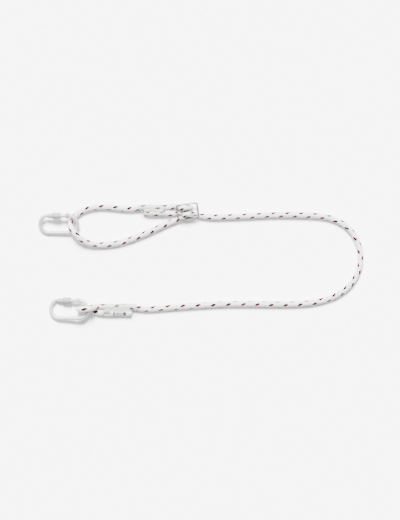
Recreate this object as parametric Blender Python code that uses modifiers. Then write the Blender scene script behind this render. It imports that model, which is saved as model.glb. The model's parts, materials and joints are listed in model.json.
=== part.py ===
"""Tree climbing lanyard, lying on a floor at z = 0. Metres, +Z up.

One braided rope carries everything. Its outer end is stitched into an eye that holds the lower
carabiner. Its other end is stitched round the centre bar of a flat three-bar slide. Between them
the rope passes through the slide once and comes back round the upper carabiner, so the loop can
be made longer or shorter. Each carabiner is a bent steel bar with a hinged gate, a screw sleeve
on the gate, and a sprung plunger that closes the gate again.
"""

import math

import bmesh
import bpy
import numpy as np
from mathutils import Matrix

# Gaps shared by all pieces
TOUCH_GAP = 0.0003
CUT_OVERRUN = 0.003

# Rope
ROPE_DIAMETER = 0.016
ROPE_SIDES = 10
ROPE_STEP_SHARE = 2.5
ROPE_CHORD_ERROR = 0.0003
SLIDE_SQUEEZE_SHARE = 0.80
SLIDE_SQUEEZE_INNER = 0.030
SLIDE_SQUEEZE_OUTER = 0.050

# Stitched ends: two parallel legs of rope, whose centres lie this far apart
LEG_SPACING = 0.0166
SEAM_THREAD_DIAMETER = 0.001
SEAM_HALF_WIDTH = 0.0032
SEAM_RISE = 0.0073
SEAM_PITCH = 0.0052
SEAM_POINTS_PER_WAVE = 6
TUBE_WALL = 0.001
TUBE_FLOOR_GAP = 0.0003
EYE_TUBE_ROOM = 0.0015
SLIDE_TUBE_ROOM = 0.0005
EYE_TAIL_CENTRE = (-0.0062, -0.1420)
EYE_TUBE_LENGTH = 0.086
EYE_SEAM_LENGTH = 0.068
SLIDE_TAIL_CENTRE = (0.0938, 0.1311)
SLIDE_TUBE_LENGTH = 0.064
SLIDE_SEAM_LENGTH = 0.052
LABEL_LENGTH = 0.076
LABEL_THICKNESS = 0.0003
LABEL_FROM = math.radians(-30)
LABEL_TO = math.radians(78)

# Slide: outer size, rod, and the radius of the rod's centre line at the corners
SLIDE_LENGTH = 0.0615
SLIDE_WIDTH = 0.0435
SLIDE_ROD_DIAMETER = 0.005
SLIDE_CORNER = 0.0055
SLIDE_CENTRE = (0.1865, 0.1376, 0.0186)
SLIDE_TURN = math.radians(7)

# Carabiner bar and outline
CARABINER_LENGTH = 0.1136
CARABINER_WIDTH = 0.0595
BAR_DIAMETER = 0.011
FLAT_LENGTH = 0.036
FLAT_DEPTH = 0.001
FLOOR_GAP = 0.0001

# Nose, hinge tongue and rivet
NOSE_LENGTH = 0.026
NOSE_STRAIGHT = 0.002
NOSE_CEILING = 0.0034
HOOK_CEILING = 0.0019
PIN_FREE_FRONT = 0.0005
PIN_FREE_BACK = 0.001
HINGE_INSET = 0.0324
TONGUE_RADIUS = 0.006
TONGUE_THICKNESS = 0.0044
TONGUE_FLAT = 0.005
TONGUE_ROOT_LENGTH = 0.010
TONGUE_ROOT_HALF_WIDTH = 0.0036
RIVET_DIAMETER = 0.004
RIVET_HEAD_DIAMETER = 0.0066
RIVET_HEAD_HEIGHT = 0.001

# Gate
GATE_FRONT_GAP = 0.0005
GATE_CHAMFER = 0.0004
TIP_REACH = 0.0068
TIP_WIDTH = 0.006
TIP_THICKNESS = 0.003
TIP_ROOT = 0.006
SLOT_SIDE_GAP = 0.0004
LATCH_PIN_REACH = 0.0045
LATCH_PIN_DIAMETER = 0.0028
LATCH_PIN_LENGTH = 0.0094
THREAD_START = 0.001
THREAD_PITCH = 0.00175
THREAD_RIDGES = 9
THREAD_CREST_DIAMETER = 0.0132
THREAD_ROOT_DIAMETER = 0.0114
EAR_RADIUS = 0.007
EAR_THICKNESS = 0.0027
EAR_BACK_GAP = 0.0004
FORK_BACK_GAP = 0.0008
BORE_DEPTH = 0.0212

# Spring and plunger in the gate's bore
PLUNGER_DIAMETER = 0.0048
PLUNGER_TIP_DIAMETER = 0.0035
PLUNGER_LENGTH = 0.0084
PLUNGER_TRAVEL = 0.0009
SPRING_WIRE = 0.0007
SPRING_DIAMETER = 0.0046
SPRING_TURNS = 7
SPRING_POINTS_PER_TURN = 8

# Screw sleeve and its retaining ring
SLEEVE_DIAMETER = 0.0177
SLEEVE_LENGTH = 0.0223
SLEEVE_CHAMFER = 0.0008
SLEEVE_REST_SHARE = 0.554
RING_WIRE = 0.0013
RING_INSET = 0.0016
RING_OPENING = math.radians(24)
RING_POINTS = 22

# Places of the carabiners on the floor
UPPER_PLACE = (-0.1673, 0.1012)
UPPER_PITCH = math.radians(2.9)
UPPER_ROLL = math.radians(17.6)
LOWER_PLACE = (-0.1391, -0.1329)
LOWER_PITCH = math.radians(9.15)
LOWER_ROLL = 0.0

BAR_SIDES = 16
ROUND_STEPS = 24

# The rope's route, from the cut end beside the eye to the cut end beside the slide
EYE_ROUTE = [
    (0.0338, -0.1420, 0.0093),
    (-0.0002, -0.1420, 0.0093),
    (-0.0322, -0.1420, 0.0093),
    (-0.0492, -0.1420, 0.0093),
    (-0.0602, -0.1409, 0.0087),
    (-0.0742, -0.1366, 0.0081),
    (-0.0882, -0.1323, 0.0080),
    (-0.0992, -0.1317, 0.0088),
    (-0.1084, -0.1316, 0.0130),
    (-0.1118, -0.1315, 0.0215),
    (-0.1084, -0.1319, 0.0308),
    (-0.0992, -0.1316, 0.0363),
    (-0.0887, -0.1306, 0.0368),
    (-0.0790, -0.1284, 0.0336),
    (-0.0714, -0.1265, 0.0262),
    (-0.0652, -0.1249, 0.0172),
    (-0.0572, -0.1244, 0.0115),
    (-0.0467, -0.1250, 0.0094),
    (-0.0302, -0.1254, 0.0093),
    (-0.0152, -0.1254, 0.0093),
    (-0.0002, -0.1254, 0.0093),
    (0.0168, -0.1254, 0.0093),
    (0.0328, -0.1255, 0.0093),
    (0.0487, -0.1288, 0.0089),
]
RUN_ROUTE = [
    (0.0732, -0.1316, 0.0082),
    (0.1187, -0.1288, 0.0080),
    (0.2013, -0.1228, 0.0080),
    (0.2895, -0.1178, 0.0080),
    (0.3859, -0.1178, 0.0080),
    (0.4768, -0.1178, 0.0080),
    (0.5457, -0.1109, 0.0080),
    (0.6036, -0.0897, 0.0080),
    (0.6438, -0.0525, 0.0080),
    (0.6620, -0.0024, 0.0080),
    (0.6548, 0.0505, 0.0080),
    (0.6261, 0.0930, 0.0080),
    (0.5801, 0.1183, 0.0080),
    (0.5182, 0.1263, 0.0080),
    (0.4272, 0.1274, 0.0080),
    (0.3308, 0.1233, 0.0080),
    (0.2757, 0.1216, 0.0080),
    (0.2482, 0.1216, 0.0080),
]
SLIDE_PASS_ROUTE = [
    (0.2265, 0.1240, 0.0078),
    (0.2174, 0.1243, 0.0072),
    (0.2094, 0.1277, 0.0098),
    (0.2028, 0.1299, 0.0171),
    (0.1965, 0.1297, 0.0250),
    (0.1876, 0.1286, 0.0290),
    (0.1795, 0.1275, 0.0252),
    (0.1768, 0.1261, 0.0164),
    (0.1730, 0.1215, 0.0091),
    (0.1659, 0.1166, 0.0069),
    (0.1563, 0.1128, 0.0074),
]
LOOP_ROUTE = [
    (0.1407, 0.1073, 0.0081),
    (0.1104, 0.0938, 0.0080),
    (0.0553, 0.0693, 0.0081),
    (0.0071, 0.0527, 0.0080),
    (-0.0315, 0.0456, 0.0081),
    (-0.0645, 0.0456, 0.0100),
    (-0.0907, 0.0522, 0.0158),
    (-0.1105, 0.0640, 0.0222),
    (-0.1249, 0.0792, 0.0252),
    (-0.1340, 0.0930, 0.0195),
    (-0.1340, 0.1073, 0.0105),
    (-0.1249, 0.1219, 0.0082),
    (-0.1089, 0.1348, 0.0082),
    (-0.0866, 0.1442, 0.0080),
    (-0.0549, 0.1492, 0.0080),
    (-0.0053, 0.1461, 0.0080),
    (0.0305, 0.1439, 0.0083),
    (0.0526, 0.1470, 0.0092),
]
SLIDE_EYE_ROUTE = [
    (0.0648, 0.1477, 0.0093),
    (0.0818, 0.1477, 0.0093),
    (0.0998, 0.1477, 0.0093),
    (0.1158, 0.1477, 0.0093),
    (0.1288, 0.1480, 0.0092),
    (0.1476, 0.1508, 0.0078),
    (0.1551, 0.1511, 0.0073),
    (0.1621, 0.1493, 0.0090),
    (0.1666, 0.1454, 0.0153),
    (0.1715, 0.1451, 0.0222),
    (0.1774, 0.1458, 0.0268),
    (0.1849, 0.1466, 0.0290),
    (0.1927, 0.1475, 0.0258),
    (0.1957, 0.1478, 0.0186),
    (0.1930, 0.1471, 0.0112),
    (0.1856, 0.1445, 0.0074),
    (0.1781, 0.1402, 0.0067),
    (0.1697, 0.1351, 0.0067),
    (0.1590, 0.1320, 0.0070),
    (0.1450, 0.1310, 0.0080),
    (0.1298, 0.1311, 0.0091),
    (0.1148, 0.1311, 0.0093),
    (0.0998, 0.1311, 0.0093),
    (0.0648, 0.1311, 0.0093),
]
ROPE_ROUTE = EYE_ROUTE + RUN_ROUTE + SLIDE_PASS_ROUTE + LOOP_ROUTE + SLIDE_EYE_ROUTE

# Sizes worked out from the ones above
ROPE_RADIUS = ROPE_DIAMETER / 2
LEG_HEIGHT = TUBE_WALL + TUBE_FLOOR_GAP + ROPE_RADIUS
BAR_RADIUS = BAR_DIAMETER / 2
RING_HALF_LENGTH = CARABINER_LENGTH / 2 - BAR_RADIUS
RING_HALF_WIDTH = CARABINER_WIDTH / 2 - BAR_RADIUS
HINGE_X = CARABINER_LENGTH / 2 - HINGE_INSET
NOSE_X = NOSE_LENGTH - CARABINER_LENGTH / 2
NOSE_FROM_HINGE = HINGE_X - NOSE_X
GATE_LENGTH = NOSE_FROM_HINGE - GATE_FRONT_GAP
GATE_REAR_HOLLOW = TONGUE_RADIUS + FORK_BACK_GAP
THREAD_FRONT = -GATE_LENGTH + THREAD_START
THREAD_REAR = THREAD_FRONT + THREAD_RIDGES * THREAD_PITCH
FORK_SLOT = TONGUE_THICKNESS / 2 + TOUCH_GAP
FORK_HALF = FORK_SLOT + EAR_THICKNESS
RIVET_HOLE_RADIUS = RIVET_DIAMETER / 2 + TOUCH_GAP
BORE_RADIUS = PLUNGER_DIAMETER / 2 + TOUCH_GAP
PLUNGER_TIP_X = -TONGUE_FLAT - TOUCH_GAP
PLUNGER_BACK_X = PLUNGER_TIP_X - PLUNGER_LENGTH
SPRING_FRONT_X = -GATE_REAR_HOLLOW - BORE_DEPTH + TOUCH_GAP
SPRING_BACK_X = PLUNGER_BACK_X - PLUNGER_TRAVEL - TOUCH_GAP
SLEEVE_BORE_RADIUS = THREAD_CREST_DIAMETER / 2 + TOUCH_GAP
RING_X = THREAD_REAR + SLEEVE_REST_SHARE * (-EAR_RADIUS - THREAD_REAR)
SLEEVE_X = RING_X + RING_INSET - SLEEVE_LENGTH / 2
RING_RADIUS = BAR_RADIUS + TOUCH_GAP + RING_WIRE / 2
RING_GROOVE_RADIUS = RING_RADIUS + RING_WIRE / 2 + TOUCH_GAP


def clear_scene():
    for thing in list(bpy.data.objects):
        bpy.data.objects.remove(thing, do_unlink=True)


def new_collection(name):
    collection = bpy.data.collections.new(name)
    bpy.context.scene.collection.children.link(collection)
    return collection


clear_scene()
PARTS = new_collection("Tree climbing lanyard")
TOOLS = new_collection("Cutters")


def material(name, color, metallic, roughness, alpha=1.0):
    made = bpy.data.materials.new(name)
    made.use_nodes = True
    shader = made.node_tree.nodes["Principled BSDF"]
    shader.inputs["Base Color"].default_value = (*color, 1.0)
    shader.inputs["Metallic"].default_value = metallic
    shader.inputs["Roughness"].default_value = roughness
    shader.inputs["Alpha"].default_value = alpha
    return made


def finish(made, name, shade):
    """Names an object, gives it a material of its own and puts it with the parts."""
    made.name = name
    made.data.name = name
    made.data.materials.clear()
    made.data.materials.append(material(name, *shade))
    return made


BODY_STEEL = ((0.70, 0.70, 0.71), 1.0, 0.22)
GATE_STEEL = ((0.66, 0.66, 0.67), 1.0, 0.28)
SLEEVE_STEEL = ((0.50, 0.50, 0.51), 1.0, 0.35)
PIN_STEEL = ((0.58, 0.58, 0.59), 1.0, 0.30)
SPRING_STEEL = ((0.42, 0.42, 0.43), 1.0, 0.40)
SLIDE_STEEL = ((0.72, 0.72, 0.72), 1.0, 0.20)
ROPE_WHITE = ((0.86, 0.85, 0.83), 0.0, 0.85)
THREAD_WHITE = ((0.90, 0.89, 0.86), 0.0, 0.80)
CLEAR_FILM = ((0.92, 0.92, 0.92), 0.0, 0.12, 0.30)
LABEL_WHITE = ((0.93, 0.93, 0.92), 0.0, 0.45)


def from_mesh(mesh, collection=None):
    made = bpy.data.objects.new("piece", mesh)
    (collection or PARTS).objects.link(made)
    return made


def as_mesh(source):
    """The object as its modifiers and bevel leave it, as a plain mesh object in the same place."""
    bpy.context.view_layer.update()
    graph = bpy.context.evaluated_depsgraph_get()
    mesh = bpy.data.meshes.new_from_object(source.evaluated_get(graph))
    work = bmesh.new()
    work.from_mesh(mesh)
    bmesh.ops.remove_doubles(work, verts=work.verts, dist=TOUCH_GAP / 100)
    bmesh.ops.recalc_face_normals(work, faces=work.faces)
    work.to_mesh(mesh)
    work.free()
    made = from_mesh(mesh)
    made.matrix_world = source.matrix_world.copy()
    bpy.data.objects.remove(source, do_unlink=True)
    return made


def tube(points, radius, sides, closed=False, radii=None):
    """A round tube along the points, in as many sides as asked, with flat ends."""
    curve = bpy.data.curves.new("tube", "CURVE")
    curve.dimensions = "3D"
    curve.bevel_depth = radius
    curve.bevel_resolution = (sides - 4) // 2
    curve.use_fill_caps = True
    spline = curve.splines.new("POLY")
    spline.points.add(len(points) - 1)
    for index, point in enumerate(points):
        spline.points[index].co = (*point, 1.0)
        if radii is not None:
            spline.points[index].radius = radii[index]
    spline.use_cyclic_u = closed
    made = bpy.data.objects.new("tube", curve)
    PARTS.objects.link(made)
    return as_mesh(made)


def turned(profile, axis="X"):
    """A solid of revolution. The profile holds (radius, place on the axis), from low to high."""
    mesh = bpy.data.meshes.new("profile")
    upward = [(radius, 0.0, place) for radius, place in reversed(profile)]
    closed = profile[0][0] > 0
    edges = [(index, index + 1) for index in range(len(profile) - 1)]
    if closed:
        edges.append((len(profile) - 1, 0))
    mesh.from_pydata(upward, edges, [])
    made = from_mesh(mesh)
    screw = made.modifiers.new("Turn", "SCREW")
    screw.axis = "Z"
    screw.steps = ROUND_STEPS
    screw.render_steps = ROUND_STEPS
    screw.use_merge_vertices = True
    screw.merge_threshold = TOUCH_GAP / 100
    made = as_mesh(made)
    if axis == "X":
        made.data.transform(Matrix.Rotation(math.radians(90), 4, "Y"))
    return made


def block(low, high):
    """A box between two corners."""
    mesh = bpy.data.meshes.new("block")
    work = bmesh.new()
    bmesh.ops.create_cube(work, size=1.0)
    size = [high[i] - low[i] for i in range(3)]
    middle = [(high[i] + low[i]) / 2 for i in range(3)]
    bmesh.ops.transform(
        work, matrix=Matrix.Translation(middle) @ Matrix.Diagonal((*size, 1.0)), verts=work.verts
    )
    work.to_mesh(mesh)
    work.free()
    return from_mesh(mesh)


def rod(radius, low, high, axis, middle=(0.0, 0.0, 0.0)):
    """A plain cylinder along X or Z, between two places on its axis."""
    mesh = bpy.data.meshes.new("rod")
    work = bmesh.new()
    bmesh.ops.create_cone(
        work, cap_ends=True, segments=ROUND_STEPS, radius1=radius, radius2=radius, depth=high - low
    )
    half = (high + low) / 2
    turn = Matrix.Rotation(math.radians(90), 4, "Y") if axis == "X" else Matrix.Identity(4)
    place = Matrix.Translation(middle) @ turn @ Matrix.Translation((0.0, 0.0, half))
    bmesh.ops.transform(work, matrix=place, verts=work.verts)
    work.to_mesh(mesh)
    work.free()
    return from_mesh(mesh)


def plate(outline, thickness):
    """A flat outline in XY, thickened to both sides of z = 0."""
    mesh = bpy.data.meshes.new("plate")
    work = bmesh.new()
    face = work.faces.new([work.verts.new((x, y, -thickness / 2)) for x, y in outline])
    grown = bmesh.ops.extrude_face_region(work, geom=[face])
    top = [item for item in grown["geom"] if isinstance(item, bmesh.types.BMVert)]
    bmesh.ops.translate(work, vec=(0.0, 0.0, thickness), verts=top)
    bmesh.ops.recalc_face_normals(work, faces=work.faces)
    work.to_mesh(mesh)
    work.free()
    return from_mesh(mesh)


def combine(target, tool, operation):
    """Joins the tool to the target, or cuts the target with it. The tool follows its target."""
    step = target.modifiers.new(operation.title(), "BOOLEAN")
    step.operation = operation
    step.object = tool
    PARTS.objects.unlink(tool)
    TOOLS.objects.link(tool)
    tool.name = "tool"
    tool.hide_render = True
    tool.display_type = "WIRE"
    tool.parent = target
    return target


def arc(middle, radius, start, end, steps):
    angles = [start + (end - start) * index / steps for index in range(steps + 1)]
    return [(middle[0] + radius * math.cos(a), middle[1] + radius * math.sin(a)) for a in angles]


def smooth_route(points):
    """Fine samples of one smooth curve through the points, with its place along the curve."""
    knots = np.array(points)
    spans = np.sqrt(np.linalg.norm(np.diff(knots, axis=0), axis=1))
    count = len(knots)
    left = np.eye(count)
    right = np.zeros((count, 3))
    for index in range(1, count - 1):
        before, after = spans[index - 1], spans[index]
        left[index, index - 1 : index + 2] = before, 2 * (before + after), after
        slope_after = (knots[index + 1] - knots[index]) / after
        slope_before = (knots[index] - knots[index - 1]) / before
        right[index] = 6 * (slope_after - slope_before)
    bend = np.linalg.solve(left, right)
    samples = []
    for index, span in enumerate(spans):
        for share in np.arange(0, 1, 1 / 24):
            done, rest = share * span, (1 - share) * span
            cubic = (bend[index] * rest**3 + bend[index + 1] * done**3) / (6 * span)
            from_start = (knots[index] / span - bend[index] * span / 6) * rest
            to_end = (knots[index + 1] / span - bend[index + 1] * span / 6) * done
            samples.append(cubic + from_start + to_end)
    samples.append(knots[-1])
    samples = np.array(samples)
    steps = np.linalg.norm(np.diff(samples, axis=0), axis=1)
    return samples, np.concatenate([[0.0], np.cumsum(steps)])


def squeeze_at(point):
    """How thick the rope is at a point, as a share: the slide's bars press it flatter."""
    away = math.dist(point[:2], SLIDE_CENTRE[:2])
    return float(
        np.interp(away, [SLIDE_SQUEEZE_INNER, SLIDE_SQUEEZE_OUTER], [SLIDE_SQUEEZE_SHARE, 1.0])
    )


def rope_points():
    """Points on the route: far apart where it runs straight, and close together where it bends."""
    samples, along = smooth_route(ROPE_ROUTE)
    kept = [0]
    for index in range(2, len(samples)):
        start = samples[kept[-1]]
        chord = samples[index] - start
        passed = samples[kept[-1] : index] - start
        off_chord = passed - np.outer(passed @ chord / (chord @ chord), chord)
        error = np.linalg.norm(off_chord, axis=1).max()
        far = along[index] - along[kept[-1]] > ROPE_STEP_SHARE * ROPE_DIAMETER
        if far or error > ROPE_CHORD_ERROR:
            kept.append(index - 1)
    kept.append(len(samples) - 1)
    return samples[kept], along[-1]


def make_rope():
    points, length = rope_points()
    radii = [squeeze_at(point) for point in points]
    rope = tube(points, ROPE_RADIUS, ROPE_SIDES, radii=radii)
    print(f"rope length {length:.3f} m in {len(points)} points")
    return finish(rope, "rope", ROPE_WHITE)


def make_seam(name, middle, length):
    """Zigzag stitching in the valley between the two legs of a stitched end."""
    waves = round(length / SEAM_PITCH)
    count = waves * SEAM_POINTS_PER_WAVE
    points = []
    for index in range(count + 1):
        swing = math.sin(2 * math.pi * index / SEAM_POINTS_PER_WAVE)
        x = middle[0] + length * (index / count - 0.5)
        y = middle[1] + LEG_SPACING / 2 + SEAM_HALF_WIDTH * swing
        points.append((x, y, LEG_HEIGHT + SEAM_RISE))
    return finish(tube(points, SEAM_THREAD_DIAMETER / 2, 6), name, THREAD_WHITE)


def stadium(radius, half_spacing, steps):
    right = arc((half_spacing, 0.0), radius, -math.pi / 2, math.pi / 2, steps)
    left = arc((-half_spacing, 0.0), radius, math.pi / 2, 3 * math.pi / 2, steps)
    return right + left


def make_clear_tube(name, middle, length, room):
    """A clear tube shrunk over both legs. It is open at both ends."""
    inner = ROPE_RADIUS + (TUBE_FLOOR_GAP + room) / 2
    height = inner + TUBE_WALL
    outside = plate(stadium(inner + TUBE_WALL, LEG_SPACING / 2, 8), length)
    hollow = plate(stadium(inner, LEG_SPACING / 2, 8), length + CUT_OVERRUN)
    made = combine(outside, hollow, "DIFFERENCE")
    stand = Matrix(((0, 0, 1, 0), (1, 0, 0, 0), (0, 1, 0, 0), (0, 0, 0, 1)))
    place = Matrix.Translation((middle[0], middle[1] + LEG_SPACING / 2, height))
    made.matrix_world = place @ stand
    return finish(made, name, CLEAR_FILM)


def make_label():
    """A thin strip bent over the eye's shorter leg, under the clear tube."""
    low = ROPE_RADIUS + TOUCH_GAP
    high = low + LABEL_THICKNESS
    start, end = math.pi / 2 + LABEL_FROM, math.pi / 2 + LABEL_TO
    outline = arc((0.0, 0.0), high, start, end, 10) + arc((0.0, 0.0), low, end, start, 10)
    made = plate(outline, LABEL_LENGTH)
    stand = Matrix(((0, 0, 1, 0), (1, 0, 0, 0), (0, 1, 0, 0), (0, 0, 0, 1)))
    made.matrix_world = Matrix.Translation((*EYE_TAIL_CENTRE, LEG_HEIGHT)) @ stand
    return finish(made, "label", LABEL_WHITE)


def rounded_ring(half_length, half_width, corner, steps):
    x, y = half_length - corner, half_width - corner
    points = []
    for number, middle in enumerate(((x, y), (-x, y), (-x, -y), (x, -y))):
        start = number * math.pi / 2
        points += arc(middle, corner, start, start + math.pi / 2, steps)
    return [(px, py, 0.0) for px, py in points]


def make_slide():
    """The flat adjuster: a rod bent into a rectangle, and a bar welded across its middle."""
    rod_radius = SLIDE_ROD_DIAMETER / 2
    half_length = SLIDE_LENGTH / 2 - rod_radius
    half_width = SLIDE_WIDTH / 2 - rod_radius
    place = Matrix.Translation(SLIDE_CENTRE) @ Matrix.Rotation(SLIDE_TURN, 4, "Z")
    outline = rounded_ring(half_length, half_width, SLIDE_CORNER, 6)
    frame = tube(outline, rod_radius, 12, closed=True)
    reach = half_width - rod_radius - TOUCH_GAP
    bar = rod(rod_radius, -reach, reach, "Z")
    bar.data.transform(Matrix.Rotation(math.radians(90), 4, "X"))
    for made in (frame, bar):
        made.matrix_world = place
    return [finish(frame, "slide_frame", SLIDE_STEEL), finish(bar, "slide_bar", SLIDE_STEEL)]


def bar_path():
    """Centre line of the bent bar: nose, far end, spine, hinge end, and back to the hinge."""
    bend = RING_HALF_WIDTH
    x = RING_HALF_LENGTH - bend
    nose_x = NOSE_X - NOSE_STRAIGHT
    reach = RING_HALF_LENGTH + nose_x
    shoulder = HINGE_X + EAR_RADIUS + EAR_BACK_GAP
    last = math.acos(min(1.0, max(0.0, (shoulder - x) / bend)))
    quarter = math.pi / 2
    unit = arc((0.0, 0.0), 1.0, quarter, 2 * quarter, 9)
    points = [(NOSE_X, bend)]
    points += [(nose_x + reach * px, bend * py) for px, py in unit]
    points += arc((-x, 0.0), bend, 2 * quarter, 3 * quarter, 9)[1:]
    points += arc((x, 0.0), bend, -quarter, last, 17)
    return [(px, py, 0.0) for px, py in points]


def tongue_outline():
    """The hinge tongue: round about the hinge, cut flat where the plunger bears on it."""
    half_chord = math.sqrt(TONGUE_RADIUS**2 - TONGUE_FLAT**2)
    corner = math.atan2(half_chord, -TONGUE_FLAT)
    upper = arc((0.0, 0.0), TONGUE_RADIUS, corner, math.pi / 2, 6)
    root = TONGUE_ROOT_HALF_WIDTH
    far = [(TONGUE_ROOT_LENGTH, root), (TONGUE_ROOT_LENGTH, -root)]
    lower = arc((0.0, 0.0), TONGUE_RADIUS, -math.pi / 2, -corner, 6)
    return upper + far + lower


def make_body(name):
    body = tube(bar_path(), BAR_RADIUS, BAR_SIDES)
    tongue = plate(tongue_outline(), TONGUE_THICKNESS)
    tongue.data.transform(Matrix.Translation((HINGE_X, RING_HALF_WIDTH, 0.0)))
    combine(body, tongue, "UNION")
    slot_end = NOSE_X - TIP_REACH - TOUCH_GAP
    slot_half = TIP_THICKNESS / 2 + SLOT_SIDE_GAP
    low_y = RING_HALF_WIDTH - BAR_DIAMETER
    slot = block(
        (slot_end, low_y, -slot_half),
        (NOSE_X + CUT_OVERRUN, RING_HALF_WIDTH + NOSE_CEILING, slot_half),
    )
    combine(body, slot, "DIFFERENCE")
    pin_x = NOSE_X - LATCH_PIN_REACH
    pin_radius = LATCH_PIN_DIAMETER / 2
    groove = block(
        (pin_x - pin_radius - PIN_FREE_FRONT, low_y, -BAR_DIAMETER),
        (pin_x + pin_radius + PIN_FREE_BACK, RING_HALF_WIDTH + HOOK_CEILING, BAR_DIAMETER),
    )
    combine(body, groove, "DIFFERENCE")
    hole = rod(RIVET_HOLE_RADIUS, -BAR_DIAMETER, BAR_DIAMETER, "Z", (HINGE_X, RING_HALF_WIDTH, 0.0))
    combine(body, hole, "DIFFERENCE")
    face = -RING_HALF_WIDTH - BAR_RADIUS + FLAT_DEPTH
    flat = block(
        (-FLAT_LENGTH / 2, face - BAR_DIAMETER, -BAR_DIAMETER), (FLAT_LENGTH / 2, face, BAR_DIAMETER)
    )
    combine(body, flat, "DIFFERENCE")
    return finish(body, name, BODY_STEEL)


def gate_profile():
    radius, crest, root = BAR_RADIUS, THREAD_CREST_DIAMETER / 2, THREAD_ROOT_DIAMETER / 2
    profile = [(0.0, -GATE_LENGTH), (radius - GATE_CHAMFER, -GATE_LENGTH)]
    profile.append((radius, -GATE_LENGTH + GATE_CHAMFER))
    for ridge in range(THREAD_RIDGES):
        start = THREAD_FRONT + ridge * THREAD_PITCH
        profile += [(root, start), (crest, start + THREAD_PITCH / 2)]
    profile += [(root, THREAD_REAR), (radius, THREAD_REAR + THREAD_PITCH / 2)]
    return profile + [(radius, 0.0), (0.0, 0.0)]


def make_gate(name):
    """The gate, with its origin on the hinge."""
    gate = turned(gate_profile())
    combine(gate, rod(EAR_RADIUS, -FORK_HALF, FORK_HALF, "Z"), "UNION")
    tip = block(
        (-NOSE_FROM_HINGE - TIP_REACH, -TIP_WIDTH / 2, -TIP_THICKNESS / 2),
        (-GATE_LENGTH + TIP_ROOT, TIP_WIDTH / 2, TIP_THICKNESS / 2),
    )
    combine(gate, tip, "UNION")
    slot = block(
        (-GATE_REAR_HOLLOW, -BAR_DIAMETER, -FORK_SLOT), (BAR_DIAMETER, BAR_DIAMETER, FORK_SLOT)
    )
    combine(gate, slot, "DIFFERENCE")
    bore_end = -GATE_REAR_HOLLOW - BORE_DEPTH
    combine(gate, rod(BORE_RADIUS, bore_end, -GATE_REAR_HOLLOW / 2, "X"), "DIFFERENCE")
    combine(gate, rod(RIVET_HOLE_RADIUS, -BAR_DIAMETER, BAR_DIAMETER, "Z"), "DIFFERENCE")
    pin_hole = rod(
        LATCH_PIN_DIAMETER / 2 + TOUCH_GAP,
        -BAR_DIAMETER,
        BAR_DIAMETER,
        "Z",
        (-NOSE_FROM_HINGE - LATCH_PIN_REACH, 0.0, 0.0),
    )
    combine(gate, pin_hole, "DIFFERENCE")
    return finish(gate, name, GATE_STEEL)


def make_latch_pin(name):
    half = LATCH_PIN_LENGTH / 2
    return finish(rod(LATCH_PIN_DIAMETER / 2, -half, half, "Z"), name, PIN_STEEL)


def make_rivet(name):
    radius, head = RIVET_DIAMETER / 2, RIVET_HEAD_DIAMETER / 2
    seat = FORK_HALF + TOUCH_GAP
    lower = []
    for index in range(4):
        angle = math.pi / 2 * index / 3
        lower.append((head * math.sin(angle), -seat - RIVET_HEAD_HEIGHT * math.cos(angle)))
    lower.append((radius, -seat))
    upper = [(r, -z) for r, z in reversed(lower)]
    return finish(turned(lower + upper, "Z"), name, PIN_STEEL)


def make_sleeve(name):
    """The screw sleeve: smooth outside, with a groove in its bore for the retaining ring."""
    outer, bore, half = SLEEVE_DIAMETER / 2, SLEEVE_BORE_RADIUS, SLEEVE_LENGTH / 2
    edge = SLEEVE_CHAMFER
    groove = half - RING_INSET
    groove_half = RING_WIRE / 2 + TOUCH_GAP
    outside = [(outer - edge, -half), (outer, -half + edge), (outer, half - edge)]
    outside.append((outer - edge, half))
    inside = [(bore, half), (bore, groove + groove_half), (RING_GROOVE_RADIUS, groove + groove_half)]
    inside += [(RING_GROOVE_RADIUS, groove - groove_half), (bore, groove - groove_half)]
    inside.append((bore, -half))
    return finish(turned(outside + inside), name, SLEEVE_STEEL)


def make_retaining_ring(name):
    """A snap ring: a wire bent round, open where its ends meet."""
    half = RING_OPENING / 2
    circle = arc((0.0, 0.0), RING_RADIUS, half, 2 * math.pi - half, RING_POINTS)
    ring = tube([(0.0, y, z) for y, z in circle], RING_WIRE / 2, 6)
    return finish(ring, name, PIN_STEEL)


def make_spring(name):
    """The gate's return spring, at the length that an open gate leaves it."""
    radius = (SPRING_DIAMETER - SPRING_WIRE) / 2
    start, end = SPRING_FRONT_X + SPRING_WIRE / 2, SPRING_BACK_X - SPRING_WIRE / 2
    count = SPRING_TURNS * SPRING_POINTS_PER_TURN
    points = []
    for index in range(count + 1):
        angle = 2 * math.pi * index / SPRING_POINTS_PER_TURN
        x = start + (end - start) * index / count
        points.append((x, radius * math.cos(angle), radius * math.sin(angle)))
    return finish(tube(points, SPRING_WIRE / 2, 6), name, SPRING_STEEL)


def make_plunger(name):
    body, tip = PLUNGER_DIAMETER / 2, PLUNGER_TIP_DIAMETER / 2
    profile = [(0.0, PLUNGER_BACK_X), (body, PLUNGER_BACK_X), (body, PLUNGER_TIP_X - (body - tip))]
    profile += [(tip, PLUNGER_TIP_X), (0.0, PLUNGER_TIP_X)]
    return finish(turned(profile), name, PIN_STEEL)


def hold(made, parent, place):
    """Hangs a piece on its parent at a place in the parent's own frame."""
    made.parent = parent
    made.location = place
    return made


def rest_height(pitch, roll):
    """How high the ring's centre is when the lowest point of its bar is on the floor."""
    rise_x, rise_y = math.sin(pitch), math.cos(pitch) * math.sin(roll)
    drop = (RING_HALF_LENGTH - RING_HALF_WIDTH) * abs(rise_x)
    return drop + RING_HALF_WIDTH * math.hypot(rise_x, rise_y) + BAR_RADIUS + FLOOR_GAP


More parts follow.
